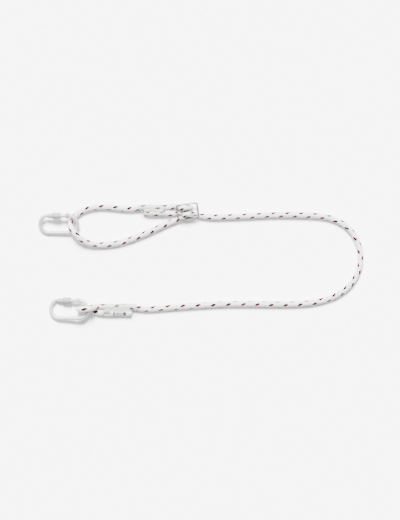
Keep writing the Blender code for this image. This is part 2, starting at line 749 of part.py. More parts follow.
def make_carabiner(side, place, pitch, roll):
    """One carabiner. The gate hangs on the body's hinge, and the sleeve rides on the gate."""
    holder = bpy.data.objects.new(side + "_place", None)
    PARTS.objects.link(holder)
    holder.location = (*place, rest_height(pitch, roll))
    holder.rotation_euler = (
        Matrix.Rotation(-pitch, 4, "Y") @ Matrix.Rotation(roll, 4, "X")
    ).to_euler()
    hinge = (HINGE_X, RING_HALF_WIDTH, 0.0)
    start = (0.0, 0.0, 0.0)
    hold(make_body(side + "_body"), holder, start)
    hold(make_rivet(side + "_rivet"), holder, hinge)
    gate = hold(make_gate(side + "_gate"), holder, hinge)
    pin_place = (-NOSE_FROM_HINGE - LATCH_PIN_REACH, 0.0, 0.0)
    hold(make_latch_pin(side + "_latch_pin"), gate, pin_place)
    hold(make_spring(side + "_spring"), gate, start)
    hold(make_plunger(side + "_plunger"), gate, start)
    ring = hold(make_retaining_ring(side + "_retaining_ring"), gate, (RING_X, 0.0, 0.0))
    hold(make_sleeve(side + "_sleeve"), ring, (SLEEVE_X - RING_X, 0.0, 0.0))


make_rope()
make_seam("eye_seam", EYE_TAIL_CENTRE, EYE_SEAM_LENGTH)
make_seam("slide_seam", SLIDE_TAIL_CENTRE, SLIDE_SEAM_LENGTH)
make_clear_tube("eye_tube", EYE_TAIL_CENTRE, EYE_TUBE_LENGTH, EYE_TUBE_ROOM)
make_clear_tube("slide_tube", SLIDE_TAIL_CENTRE, SLIDE_TUBE_LENGTH, SLIDE_TUBE_ROOM)
make_label()
make_slide()
make_carabiner("upper", UPPER_PLACE, UPPER_PITCH, UPPER_ROLL)
make_carabiner("lower", LOWER_PLACE, LOWER_PITCH, LOWER_ROLL)
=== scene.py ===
"""Tree climbing lanyard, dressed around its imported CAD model. Metres, +Z up, floor at z = 0."""

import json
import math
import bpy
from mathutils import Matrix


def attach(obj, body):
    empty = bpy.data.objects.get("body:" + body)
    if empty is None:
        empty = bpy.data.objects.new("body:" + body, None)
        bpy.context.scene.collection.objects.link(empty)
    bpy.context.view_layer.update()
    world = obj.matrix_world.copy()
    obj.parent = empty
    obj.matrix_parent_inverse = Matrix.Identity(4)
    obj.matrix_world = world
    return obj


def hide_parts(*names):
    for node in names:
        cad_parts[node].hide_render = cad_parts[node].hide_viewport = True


bl_info = {
    "name": "Tree Climbing Lanyard",
    "version": (1, 0, 0),
    "blender": (4, 5, 0),
    "location": "View3D > Sidebar > Lanyard",
    "description": "Builds a braided climbing lanyard with stitched eyes, a rope slide and carabiners",
    "category": "Object",
}

from contextlib import contextmanager
from functools import partial

import bmesh
import bpy
import numpy as np
from bpy.props import FloatProperty, FloatVectorProperty, IntProperty, PointerProperty
from mathutils import Matrix, Vector

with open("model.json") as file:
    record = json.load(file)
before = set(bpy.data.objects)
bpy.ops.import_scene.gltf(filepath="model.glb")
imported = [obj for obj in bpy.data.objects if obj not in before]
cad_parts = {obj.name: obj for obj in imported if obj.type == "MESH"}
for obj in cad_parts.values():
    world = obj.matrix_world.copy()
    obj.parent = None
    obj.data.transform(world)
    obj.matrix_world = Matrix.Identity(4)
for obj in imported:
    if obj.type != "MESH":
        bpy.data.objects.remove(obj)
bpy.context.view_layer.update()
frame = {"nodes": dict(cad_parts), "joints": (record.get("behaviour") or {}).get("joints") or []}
SIDES = ("upper", "lower")
QUARTER = math.pi / 2
MERGE_DISTANCE = 0.000002
FLAT_ANGLE = math.radians(0.5)

# The rope's route from the cut end beside the eye to the cut end beside the slide, as in the CAD
EYE_ROUTE = [
    (0.0338, -0.1420, 0.0093), (-0.0002, -0.1420, 0.0093), (-0.0322, -0.1420, 0.0093),
    (-0.0492, -0.1420, 0.0093), (-0.0602, -0.1409, 0.0087), (-0.0742, -0.1366, 0.0081),
    (-0.0882, -0.1323, 0.0080), (-0.0992, -0.1317, 0.0088), (-0.1084, -0.1316, 0.0130),
    (-0.1118, -0.1315, 0.0215), (-0.1084, -0.1319, 0.0308), (-0.0992, -0.1316, 0.0363),
    (-0.0887, -0.1306, 0.0368), (-0.0790, -0.1284, 0.0336), (-0.0714, -0.1265, 0.0262),
    (-0.0652, -0.1249, 0.0172), (-0.0572, -0.1244, 0.0115), (-0.0467, -0.1250, 0.0094),
    (-0.0302, -0.1254, 0.0093), (-0.0152, -0.1254, 0.0093), (-0.0002, -0.1254, 0.0093),
    (0.0168, -0.1254, 0.0093), (0.0328, -0.1255, 0.0093), (0.0487, -0.1288, 0.0089),
]
RUN_ROUTE = [
    (0.0732, -0.1316, 0.0082), (0.1187, -0.1288, 0.0080), (0.2013, -0.1228, 0.0080),
    (0.2895, -0.1178, 0.0080), (0.3859, -0.1178, 0.0080), (0.4768, -0.1178, 0.0080),
    (0.5457, -0.1109, 0.0080), (0.6036, -0.0897, 0.0080), (0.6438, -0.0525, 0.0080),
    (0.6620, -0.0024, 0.0080), (0.6548, 0.0505, 0.0080), (0.6261, 0.0930, 0.0080),
    (0.5801, 0.1183, 0.0080), (0.5182, 0.1263, 0.0080), (0.4272, 0.1274, 0.0080),
    (0.3308, 0.1233, 0.0080), (0.2757, 0.1216, 0.0080), (0.2482, 0.1216, 0.0080),
]
SLIDE_PASS_ROUTE = [
    (0.2265, 0.1240, 0.0078), (0.2174, 0.1243, 0.0072), (0.2094, 0.1277, 0.0098),
    (0.2028, 0.1299, 0.0171), (0.1965, 0.1297, 0.0250), (0.1876, 0.1286, 0.0290),
    (0.1795, 0.1275, 0.0252), (0.1768, 0.1261, 0.0164), (0.1730, 0.1215, 0.0091),
    (0.1659, 0.1166, 0.0069), (0.1563, 0.1128, 0.0074),
]
LOOP_ROUTE = [
    (0.1407, 0.1073, 0.0081), (0.1104, 0.0938, 0.0080), (0.0553, 0.0693, 0.0081),
    (0.0071, 0.0527, 0.0080), (-0.0315, 0.0456, 0.0081), (-0.0645, 0.0456, 0.0100),
    (-0.0907, 0.0522, 0.0158), (-0.1105, 0.0640, 0.0222), (-0.1249, 0.0792, 0.0252),
    (-0.1340, 0.0930, 0.0195), (-0.1340, 0.1073, 0.0105), (-0.1249, 0.1219, 0.0082),
    (-0.1089, 0.1348, 0.0082), (-0.0866, 0.1442, 0.0080), (-0.0549, 0.1492, 0.0080),
    (-0.0053, 0.1461, 0.0080), (0.0305, 0.1439, 0.0083), (0.0526, 0.1470, 0.0092),
]
SLIDE_EYE_ROUTE = [
    (0.0648, 0.1477, 0.0093), (0.0818, 0.1477, 0.0093), (0.0998, 0.1477, 0.0093),
    (0.1158, 0.1477, 0.0093), (0.1288, 0.1480, 0.0092), (0.1476, 0.1508, 0.0078),
    (0.1551, 0.1511, 0.0073), (0.1621, 0.1493, 0.0090), (0.1666, 0.1454, 0.0153),
    (0.1715, 0.1451, 0.0222), (0.1774, 0.1458, 0.0268), (0.1849, 0.1466, 0.0290),
    (0.1927, 0.1475, 0.0258), (0.1957, 0.1478, 0.0186), (0.1930, 0.1471, 0.0112),
    (0.1856, 0.1445, 0.0074), (0.1781, 0.1402, 0.0067), (0.1697, 0.1351, 0.0067),
    (0.1590, 0.1320, 0.0070), (0.1450, 0.1310, 0.0080), (0.1298, 0.1311, 0.0091),
    (0.1148, 0.1311, 0.0093), (0.0998, 0.1311, 0.0093), (0.0648, 0.1311, 0.0093),
]
ROPE_ROUTE = EYE_ROUTE + RUN_ROUTE + SLIDE_PASS_ROUTE + LOOP_ROUTE + SLIDE_EYE_ROUTE
SPAN_SAMPLES = 24

# How the slide presses the rope: its thickness as a share, between two distances from the slide's middle
PRESSED_DISTANCES, PRESSED_SHARES = (0.030, 0.050), (0.80, 1.0)

# How a cut end thins: distances from the end, and the thickness there as a share
TAIL_DISTANCES, TAIL_SHARES = (0.0, 0.004, 0.014), (0.35, 0.62, 1.0)

# The cover's weave: strands each way round, the height of a strand's ends, and where a row of marks starts
STRANDS = 8
END_CROWN = 0.4
MARK_PHASE_ALONG = 7 / 32
MARK_PHASE_ROUND = 3 / 32

# A marker strand is fuller than the plain ones: half its width, and half its run on top, in strand widths
MARK_HALF_WIDTH = 0.76
MARK_HALF_LENGTH = 1.22

# Count of the marker strands' marks that one row shows, at places along the rope
COVER_MARKS = (
    (0.0, -21), (0.378, -11.5), (0.5, -8.54), (0.626, -5.52), (0.703, -3.5), (0.842, 0),
    (1.1, 6.76), (1.2, 9.35), (1.31, 12.25), (1.38, 14), (1.498, 17), (1.65, 21.03),
    (1.73, 23), (1.81, 24.94), (1.93, 28), (2.01, 29.88), (2.09, 31.93), (2.17, 34),
    (2.46, 41.4),
)

# How far left of the rope's top a row of marks lies, in degrees, at places along the rope
COVER_TURN = (
    (0.17, 182), (0.244, 131), (0.281, 110), (0.324, 32), (0.34, 18), (0.36, 32),
    (0.4, 42), (0.43, 27), (0.46, 16), (0.5, 3), (0.54, -16), (0.67, -14),
    (0.72, -28), (0.79, -24), (0.83, -42), (0.86, -60), (0.88, -60), (0.917, -50),
    (0.955, -44), (1.0, -42), (1.04, -50), (1.07, -66), (1.11, -60), (1.15, -52),
    (1.2, -46), (1.26, -42), (1.34, -43), (1.42, -42), (1.48, -46), (1.51, -42),
    (1.61, -76), (1.64, -60), (1.69, -56), (1.72, -52), (1.87, -50), (1.9, -38),
    (1.93, -38), (2.0, -67), (2.05, -76), (2.13, -78), (2.17, -49), (2.21, -112),
    (2.23, -148),
)

# The stitched ends: the legs' spacing and height, and the middle of each tail
LEG_SPACING = 0.0166
LEG_HEIGHT = 0.0093
EYE_TAIL = (-0.0062, -0.1420)
SLIDE_TAIL = (0.0938, 0.1311)

# Stitching: each of a seam's two threads has a height over the legs' middle and a phase of its zigzag
EYE_SEAM = {"length": 0.068, "waves": 13}
SLIDE_SEAM = {"length": 0.052, "waves": 10}
STITCH_THREADS = ((0.0068, 0.0), (0.0079, math.pi))
STITCH_RADIUS = 0.00045
STITCH_HALF_WIDTH = 0.0036
STITCH_DIP = 0.0006
STITCH_POINTS = 8
STITCH_SIDES = 8

# Clear films: ripples have a height and half waves along the film, and an end opens over a few rings
EYE_FILM = {"ends": (-0.043, 0.058), "room": 0.0010, "tip": 1, "tip_shift": -0.0034}
SLIDE_FILM = {"ends": (-0.045, 0.032), "room": 0.0004, "tip": -1, "tip_shift": -0.0011}
FILM_INNER = 0.0083
FILM_THICKNESS = 0.0005
FILM_TAPER = 0.020
FILM_TAPER_SHARE = 0.95
FILM_PINCH = 0.05
FILM_RIPPLES = ((0.00022, 9.1), (0.00016, 23.7))
FILM_RINGS = 48
FILM_OPEN_RINGS = 4
FILM_ARC_STEPS = 10

# The label strip, and the blank frame, panel and bars on it: shares of its length and width, and how dark
LABEL_LENGTH = 0.076
LABEL_INNER = 0.0083
LABEL_THICKNESS = 0.0003
LABEL_START, LABEL_END = QUARTER + math.radians(-30), QUARTER + math.radians(78)
LABEL_ROWS, LABEL_STEPS = 12, 24
LABEL_INK = (
    (0.00, 0.25, 0.54, 0.97, 1.0),
    (0.00, 0.25, 0.735, 0.765, 0.0),
    (0.34, 0.43, 0.10, 0.94, 1.0),
    (0.36, 0.41, 0.22, 0.82, 0.8),
    (0.46, 0.80, 0.10, 0.94, 1.0),
    (0.50, 0.71, 0.66, 0.80, 0.0),
    (0.50, 0.71, 0.30, 0.46, 0.0),
    (0.80, 0.815, 0.10, 0.90, 0.8),
)

# The slide, and the weld bead at each end of its bar: rises over the rod at distances from the bar's end
SLIDE_CENTRE = (0.1865, 0.1376, 0.0186)
SLIDE_TURN = math.radians(7)
SLIDE_HALF_LENGTH = 0.02825
SLIDE_HALF_WIDTH = 0.01925
SLIDE_CORNER = 0.0055
SLIDE_ROD_RADIUS = 0.0025
SLIDE_SIDES = 28
SLIDE_CORNER_STEPS = 12
WELD_INSET = 0.0012
WELD_BEAD = ((0.0002, 0.0), (0.0007, 0.0012), (0.0004, 0.0022), (0.0, 0.0032))

# A carabiner, whose own frame has its origin on the hinge and +X towards the hinge end
BAR_RADIUS = 0.0055
RING_HALF_LENGTH = 0.0513
RING_HALF_WIDTH = 0.02425
HINGE_X = 0.0244
FLAT_HALF_LENGTH = 0.018
FLAT_DEPTH = 0.001
EDGE_ROUNDING, ROUNDED_ANGLE = 0.00025, math.radians(38)
BAR_SIDES = 32
ARC_STEPS = 16
SMALL_STEPS = 24

# Its nose, with the slot for the gate's tip and the wider groove for the latch pin
NOSE_FACE = -0.0552
NOSE_STRAIGHT = 0.002
NOSE_CEILING = 0.0034
HOOK_CEILING = 0.0019
NOSE_SLOT_DEPTH = 0.0071
NOSE_SLOT_HALF = 0.0019
PIN_X = NOSE_FACE - 0.0045
PIN_ROOM_FRONT = 0.0019
PIN_ROOM_BACK = 0.0024
PIN_HOLE_RADIUS = 0.0017
CUT_OVERRUN = 0.003
CUT_REACH = 0.01

# Its hinge: the body's tongue, the gate's fork and the rivet
EAR_RADIUS = 0.007
EAR_BACK_GAP = 0.0004
FORK_HALF = 0.0052
FORK_SLOT = 0.0025
FORK_DEPTH = 0.0068
TONGUE_RADIUS = 0.006
TONGUE_HALF = 0.0022
TONGUE_FLAT = 0.005
TONGUE_ROOT_LENGTH = 0.010
TONGUE_ROOT_HALF = 0.0036
RIVET_RADIUS = 0.002
RIVET_ROOM = 0.0003
RIVET_HEAD_RADIUS = 0.0033
RIVET_HEAD_HEIGHT = 0.001
RIVET_HEAD_STEPS = 7

# Its gate: the ridges of the thread rise and fall at these places along one pitch
GATE_FRONT = -0.0547
GATE_CHAMFER = 0.0005
THREAD_FRONT = -0.0537
THREAD_PITCH = 0.00175
THREAD_RIDGES = 9
THREAD_CREST = 0.0066
THREAD_ROOT = 0.0057
RIDGE_FOOT, RIDGE_CREST, RIDGE_END = 0.0002, 0.0008, 0.0011
TIP_REACH = 0.0068
TIP_ROOT = 0.006
TIP_HALF_WIDTH = 0.003
TIP_HALF = 0.0015
BORE_RADIUS = 0.0027
BORE_FROM, BORE_TO = -0.028, -0.004

# Its screw sleeve: grip grooves outside, and inside the groove for the retaining ring
SLEEVE_FRONT = -0.0415
SLEEVE_LENGTH = 0.0223
SLEEVE_RADIUS = 0.00885
SLEEVE_CORNER = 0.0009
SLEEVE_CORNER_STEPS = 5
SLEEVE_MORE_STEPS = 16
SLEEVE_BORE = 0.0069
SLEEVE_MOUTH = 0.0005
SLEEVE_EDGE = 0.0003
RING_GROOVE = 0.0074
RING_GROOVE_FROM, RING_GROOVE_TO = 0.00065, 0.00255
GRIP_GROOVE = ((0.0, 0.0040), (0.0003, 0.0037), (0.0003, 0.0033), (0.0, 0.0030))

# Degrees between two faces from which the edge between them stays sharp
ROPE_SHARP, THREAD_SHARP, FILM_SHARP, BAR_SHARP, ROD_SHARP, STEEL_SHARP = 70, 60, 50, 40, 57, 32

# The stage
PICTURE_MIDDLE = (0.2206, 0.0031)
LAMP_AIM = (0.12, -1.0, -1.25)
LAMP_SPREAD = math.radians(22)
FLOOR_HALF = 6.0
SENSOR_HEIGHT = 36.0
VIEW_LIMIT = 100.0

COLOR = {"subtype": "COLOR", "min": 0, "max": 1}


class LanyardRopeSettings(bpy.types.PropertyGroup):
    diameter: FloatProperty(
        name="Diameter", description="Thickness of the rope", default=0.016, unit="LENGTH"
    )
    strand_relief: FloatProperty(
        name="Strand relief", description="Height of the strands' crowns", default=0.0007, unit="LENGTH"
    )
    ring_step: FloatProperty(
        name="Ring step", description="Spacing of the rings along the rope", default=0.0016, unit="LENGTH"
    )
    sides: IntProperty(name="Sides", description="Faces round the rope", default=40, min=8, max=64)
    cover_color: FloatVectorProperty(
        name="Cover", description="Colour of the plain strands", default=(0.69, 0.68, 0.67), **COLOR
    )
    marker_red: FloatVectorProperty(
        name="Marker red", description="Red yarns of the marker strands", default=(0.42, 0.012, 0.06), **COLOR
    )
    marker_black: FloatVectorProperty(
        name="Marker black", description="Black yarns of the marker strands", default=(0.005, 0.004, 0.005),
        **COLOR,
    )


class LanyardMetalSettings(bpy.types.PropertyGroup):
    body_color: FloatVectorProperty(
        name="Body", description="Colour of the carabiner bodies", default=(0.40, 0.40, 0.395), **COLOR
    )
    sleeve_color: FloatVectorProperty(
        name="Sleeve", description="Colour of the screw sleeves", default=(0.25, 0.25, 0.25), **COLOR
    )
    slide_color: FloatVectorProperty(
        name="Slide", description="Colour of the rope slide", default=(0.17, 0.17, 0.165), **COLOR
    )
    round_steps: IntProperty(
        name="Round steps", description="Faces round a turned piece", default=48, min=12, max=96
    )


class LanyardStageSettings(bpy.types.PropertyGroup):
    floor_color: FloatVectorProperty(
        name="Floor", description="Colour of the floor", default=(0.94, 0.94, 0.94), **COLOR
    )
    camera_height: FloatProperty(
        name="Camera height", description="Height of the camera", default=6.0, unit="LENGTH"
    )
    view_height: FloatProperty(
        name="View height", description="Length of floor that the picture's height covers",
        default=1.4326, unit="LENGTH",
    )
    lamp_strength: FloatProperty(
        name="Lamp strength", description="Strength of the soft light from the picture's top", default=30.0
    )
    sky_strength: FloatProperty(
        name="Sky strength", description="Strength of the even light from all sides", default=0.85
    )


# Mesh helpers
def new_object(name, data):
    made = bpy.data.objects.new(name, data)
    bpy.context.scene.collection.objects.link(made)
    return made


def new_piece(name, mesh):
    mesh.name = name
    return new_object(name, mesh)


@contextmanager
def editing(mesh):
    """The mesh as bmesh work, which is written back at the end."""
    work = bmesh.new()
    work.from_mesh(mesh)
    yield work
    work.to_mesh(mesh)
    work.free()


def shade(mesh, sharp):
    """Smooth faces, with edges steeper than so many degrees left sharp."""
    with editing(mesh) as work:
        for face in work.faces:
            face.smooth = True
        for edge in work.edges:
            edge.smooth = len(edge.link_faces) == 2 and edge.calc_face_angle(0) < math.radians(sharp)


def clean(mesh, close_ends=False):
    with editing(mesh) as work:
        bmesh.ops.remove_doubles(work, verts=work.verts, dist=MERGE_DISTANCE)
        if close_ends:
            rims = [edge for edge in work.edges if edge.is_boundary]
            bmesh.ops.holes_fill(work, edges=rims, sides=0)
        bmesh.ops.recalc_face_normals(work, faces=work.faces)
    return mesh


def evaluated_mesh(source):
    """The object's mesh as its modifiers leave it. The object is removed."""
    bpy.context.view_layer.update()
    graph = bpy.context.evaluated_depsgraph_get()
    mesh = bpy.data.meshes.new_from_object(source.evaluated_get(graph))
    bpy.data.objects.remove(source, do_unlink=True)
    return mesh


def tube_mesh(points, radius, sides, closed=False):
    """A round tube along the points, with caps unless it is closed into a ring."""
    curve = bpy.data.curves.new("tube", "CURVE")
    curve.dimensions = "3D"
    curve.bevel_depth = radius
    curve.bevel_resolution = (sides - 4) // 2
    spline = curve.splines.new("POLY")
    spline.points.add(len(points) - 1)
    for knot, point in zip(spline.points, points):
        knot.co = (*point, 1.0)
    spline.use_cyclic_u = closed
    return clean(evaluated_mesh(new_object("tube", curve)), close_ends=not closed)


def turned_mesh(profile, steps, axis="X"):
    """A profile of (radius, place on the axis) spun once round the axis."""
    mesh = bpy.data.meshes.new("turned")
    with editing(mesh) as work:
        verts = [work.verts.new((radius, 0.0, place)) for radius, place in profile]
        edges = [work.edges.new(pair) for pair in zip(verts, verts[1:])]
        if profile[0][0] > 0:
            edges.append(work.edges.new((verts[-1], verts[0])))
        once_round = {"angle": 4 * QUARTER, "steps": steps, "use_merge": True}
        bmesh.ops.spin(work, geom=verts + edges, cent=(0, 0, 0), axis=(0, 0, 1), **once_round)
        bmesh.ops.remove_doubles(work, verts=work.verts, dist=MERGE_DISTANCE)
        bmesh.ops.recalc_face_normals(work, faces=work.faces)
        if axis == "X":
            bmesh.ops.rotate(work, verts=work.verts, matrix=Matrix.Rotation(QUARTER, 3, "Y"))
    return mesh


def mirrored(profile):
    """The profile's rows on the other side of zero, in the opposite order."""
    return [(radius, -place) for radius, place in reversed(profile)]


def block_mesh(low, high):
    mesh = bpy.data.meshes.new("block")
    with editing(mesh) as work:
        bmesh.ops.create_cube(work, size=1.0)
        bmesh.ops.scale(work, vec=[top - foot for foot, top in zip(low, high)], verts=work.verts)
        middle = [(top + foot) / 2 for foot, top in zip(low, high)]
        bmesh.ops.translate(work, vec=middle, verts=work.verts)
    return mesh


def plate_mesh(outline, thickness):
    """A flat outline in XY, thickened to both sides of z = 0."""
    mesh = bpy.data.meshes.new("plate")
    with editing(mesh) as work:
        face = work.faces.new([work.verts.new((x, y, -thickness / 2)) for x, y in outline])
        grown = bmesh.ops.extrude_face_region(work, geom=[face])
        top = [item for item in grown["geom"] if isinstance(item, bmesh.types.BMVert)]
        bmesh.ops.translate(work, vec=(0.0, 0.0, thickness), verts=top)
        bmesh.ops.recalc_face_normals(work, faces=work.faces)
    return mesh


def sheet_mesh(rows, closed=False):
    """Faces between each row of points and the next. Closed rows go once round."""
    mesh = bpy.data.meshes.new("sheet")
    with editing(mesh) as work:
        lines = [[work.verts.new(point) for point in row] for row in rows]
        for row, after in zip(lines, lines[1:]):
            for i in range(0 if closed else 1, len(row)):
                work.faces.new((row[i - 1], row[i], after[i], after[i - 1]))
        bmesh.ops.recalc_face_normals(work, faces=work.faces)
    return mesh


def thickened(mesh, thickness):
    """The sheet with a wall of that thickness on its inner side."""
    sheet = new_piece("sheet", mesh)
    wall = sheet.modifiers.new("Wall", "SOLIDIFY")
    wall.thickness = thickness
    wall.offset = -1.0
    return evaluated_mesh(sheet)


def combined(mesh, joined, cut):
    """The mesh with some meshes joined to it, and then others cut out of it."""
    target = new_piece("target", mesh)
    helpers = [new_piece("helper", tool) for tool in joined + cut]
    for number, helper in enumerate(helpers):
        step = target.modifiers.new("Step", "BOOLEAN")
        step.operation = "UNION" if number < len(joined) else "DIFFERENCE"
        step.object = helper
    result = evaluated_mesh(target)
    for helper in helpers:
        bpy.data.objects.remove(helper, do_unlink=True)
    return result


def soften(mesh, width, steep):
    """Rounds the edges that are steeper than the angle."""
    with editing(mesh) as work:
        bmesh.ops.remove_doubles(work, verts=work.verts, dist=MERGE_DISTANCE)
        bmesh.ops.dissolve_limit(work, angle_limit=FLAT_ANGLE, verts=work.verts, edges=work.edges)
        inner = [edge for edge in work.edges if len(edge.link_faces) == 2]
        edges = [edge for edge in inner if edge.calc_face_angle(0) > steep]
        form = {"affect": "EDGES", "segments": 2, "profile": 0.5, "material": -1, "clamp_overlap": True}
        bmesh.ops.bevel(work, geom=edges, offset=width, **form)
        bmesh.ops.triangulate(work, faces=[face for face in work.faces if len(face.verts) > 4])
        bmesh.ops.recalc_face_normals(work, faces=work.faces)
    return mesh


def arc(middle, radius, start, end, steps):
    angles = [start + (end - start) * index / steps for index in range(steps + 1)]
    return [(middle[0] + radius * math.cos(a), middle[1] + radius * math.sin(a)) for a in angles]


def add_piece(name, mesh, sharp, body, node, material, place=Matrix()):
    """A finished mesh as a piece that rides a CAD body and replaces one of its nodes."""
    shade(mesh, sharp)
    mesh.transform(place)
    mesh.materials.clear()
    mesh.materials.append(material)
    piece = new_piece(name, mesh)
    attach(piece, body)
    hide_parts(node)
    return piece


def hinge_place(side):
    """A carabiner's own frame: origin on the hinge, +X to the hinge end, +Z along the hinge."""
    joints = {joint["name"]: joint for joint in frame["joints"]}
    hinge = joints[side + "_gate_hinge"]
    along = -Vector(joints[side + "_sleeve_travel"]["axis"]).normalized()
    up = Vector(hinge["axis"]).normalized()
    turn = Matrix((along, up.cross(along), up)).transposed().to_4x4()
    return Matrix.Translation(hinge["pos_m"]) @ turn


# Node helpers
def new_material(name):
    made = bpy.data.materials.new(name)
    made.use_nodes = True
    return made, made.node_tree, made.node_tree.nodes["Principled BSDF"]


def made_once(collection, name, build):
    """What several pieces share, built when the first of them needs it."""
    return collection.get(name) or build()


def put(tree, socket, value):
    if isinstance(value, bpy.types.NodeSocket):
        tree.links.new(value, socket)
    else:
        socket.default_value = value


def plug(tree, node, values):
    """Links or sets the node's inputs by name."""
    for name, value in values.items():
        put(tree, node.inputs[name], value)
    return node


def new_node(tree, kind, values):
    return plug(tree, tree.nodes.new("ShaderNode" + kind), values)


def calc(tree, operation, first, second=0.0, third=0.0):
    node = tree.nodes.new("ShaderNodeMath")
    node.operation = operation
    for socket, value in zip(node.inputs, (first, second, third)):
        put(tree, socket, value)
    return node.outputs[0]


def smooth_mask(tree, value, low, high, inner=0.0, outer=1.0):
    """Smoothly goes from inner to outer while the value goes from low to high."""
    ends = {"From Min": low, "From Max": high, "To Min": inner, "To Max": outer}
    node = new_node(tree, "MapRange", {"Value": value, **ends})
    node.interpolation_type = "SMOOTHSTEP"
    return node.outputs["Result"]


def mix_color(tree, share, first, second):
    node = tree.nodes.new("ShaderNodeMix")
    node.data_type = "RGBA"
    put(tree, node.inputs["Factor"], share)
    sockets = [socket for socket in node.inputs if socket.type == "RGBA"]
    for socket, color in zip(sockets, (first, second)):
        put(tree, socket, color if isinstance(color, bpy.types.NodeSocket) else (*color, 1.0))
    return next(socket for socket in node.outputs if socket.type == "RGBA")


def darker(color, share):
    return [share * part for part in color]


def noise(tree, vector, scale, detail):
    values = {"Scale": scale, "Detail": detail, "Roughness": 0.55, "Vector": vector}
    return new_node(tree, "TexNoise", values).outputs["Fac"]


def object_coords(tree, turn=(0, 0, 0), scale=(1, 1, 1)):
    coords = new_node(tree, "TexCoord", {}).outputs["Object"]
    return new_node(tree, "Mapping", {"Vector": coords, "Rotation": turn, "Scale": scale}).outputs["Vector"]


def uv_parts(tree, layer):
    uv = new_node(tree, "UVMap", {})
    uv.uv_map = layer
    return split(tree, uv.outputs["UV"])


def split(tree, vector):
    return new_node(tree, "SeparateXYZ", {"Vector": vector}).outputs


def bump(tree, height, strength, distance):
    values = {"Strength": strength, "Distance": distance, "Height": height}
    return new_node(tree, "Bump", values).outputs["Normal"]


def group_with(name, inputs, outputs):
    group = bpy.data.node_groups.new(name, "ShaderNodeTree")
    for label, kind in inputs.items():
        group.interface.new_socket(name=label, in_out="INPUT", socket_type=kind)
    for label in outputs:
        group.interface.new_socket(name=label, in_out="OUTPUT", socket_type="NodeSocketFloat")
    return group, group.nodes.new("NodeGroupInput").outputs, group.nodes.new("NodeGroupOutput")


def group_outputs(tree, group, values):
    node = tree.nodes.new("ShaderNodeGroup")
    node.node_tree = group
    return plug(tree, node, values).outputs


# Materials
def braid_group():
    """Plaited cover. From the turns along and round the rope it finds the strand on top."""
    group, source, sink = group_with(
        "Plaited Cover",
        {"Turns Along": "NodeSocketFloat", "Turns Round": "NodeSocketFloat"},
        ["Marker", "Marker Offset", "Strand Number", "Crown", "Yarns"],
    )
    do = partial(calc, group)
    along, around = source["Turns Along"], source["Turns Round"]
    right = do("MULTIPLY", do("ADD", around, along), STRANDS)
    left = do("MULTIPLY", do("SUBTRACT", around, along), STRANDS)
    right_number, left_number = do("FLOOR", right), do("FLOOR", left)
    step = do("FLOORED_MODULO", do("ADD", right_number, left_number), 4.0)
    right_on_top = do("LESS_THAN", step, 1.5)
    right_offset = do("SUBTRACT", do("FRACT", right), 0.5)
    left_offset = do("SUBTRACT", do("FRACT", left), 0.5)

    def on_top(if_right, if_left):
        return do("MULTIPLY_ADD", do("SUBTRACT", if_right, if_left), right_on_top, if_left)

    def power(value, exponent):
        return do("POWER", do("ABSOLUTE", value), exponent)

    def from_middle(turns, middle):
        """Strand widths from the nearest of the middles, which lie four strands apart."""
        return do("SUBTRACT", do("FLOORED_MODULO", do("ADD", turns, 2.0 - middle), 4.0), 2.0)

    offset = on_top(right_offset, left_offset)
    passed = do("ADD", step, 0.5)
    travel_left = do("ADD", do("SUBTRACT", passed, 2.0), right_offset)
    travel = do("MULTIPLY", on_top(do("ADD", passed, left_offset), travel_left), 0.5)
    end_fade = do("SINE", do("MULTIPLY", travel, math.pi))
    width = do("SUBTRACT", 1.0, power(do("MULTIPLY", offset, 2.0), 3.0))
    marker_offset, marker_travel = from_middle(right, 0.5), from_middle(left, 1.0)
    mark_width = power(do("DIVIDE", marker_offset, MARK_HALF_WIDTH), 3.0)
    mark_length = power(do("DIVIDE", marker_travel, MARK_HALF_LENGTH), 4.0)
    plug(group, sink, {
        "Marker": smooth_mask(group, do("ADD", mark_width, mark_length), 0.85, 1.0, 1.0, 0.0),
        "Marker Offset": marker_offset,
        "Strand Number": on_top(right_number, do("ADD", left_number, 17.0)),
        "Crown": do("MULTIPLY", width, do("MULTIPLY_ADD", end_fade, 1 - END_CROWN, END_CROWN)),
        "Yarns": do("SINE", do("MULTIPLY", offset, 2 * math.pi * 4)),
    })
    return group


def wear_group():
    """Fine scratches and blotches for bare metal."""
    group, source, sink = group_with(
        "Metal Handling Marks",
        {"Vector": "NodeSocketVector", "Scratch Scale": "NodeSocketFloat"},
        ["Blotches", "Scratches"],
    )
    stretched = new_node(group, "Mapping", {"Vector": source["Vector"], "Scale": (1.0, 9.0, 9.0)})
    values = {"Detail": 4.0, "Vector": stretched.outputs["Vector"], "Scale": source["Scratch Scale"]}
    lines = new_node(group, "TexNoise", values)
    blotches = noise(group, source["Vector"], 90.0, 4.0)
    plug(group, sink, {"Blotches": blotches, "Scratches": lines.outputs["Fac"]})
    return group


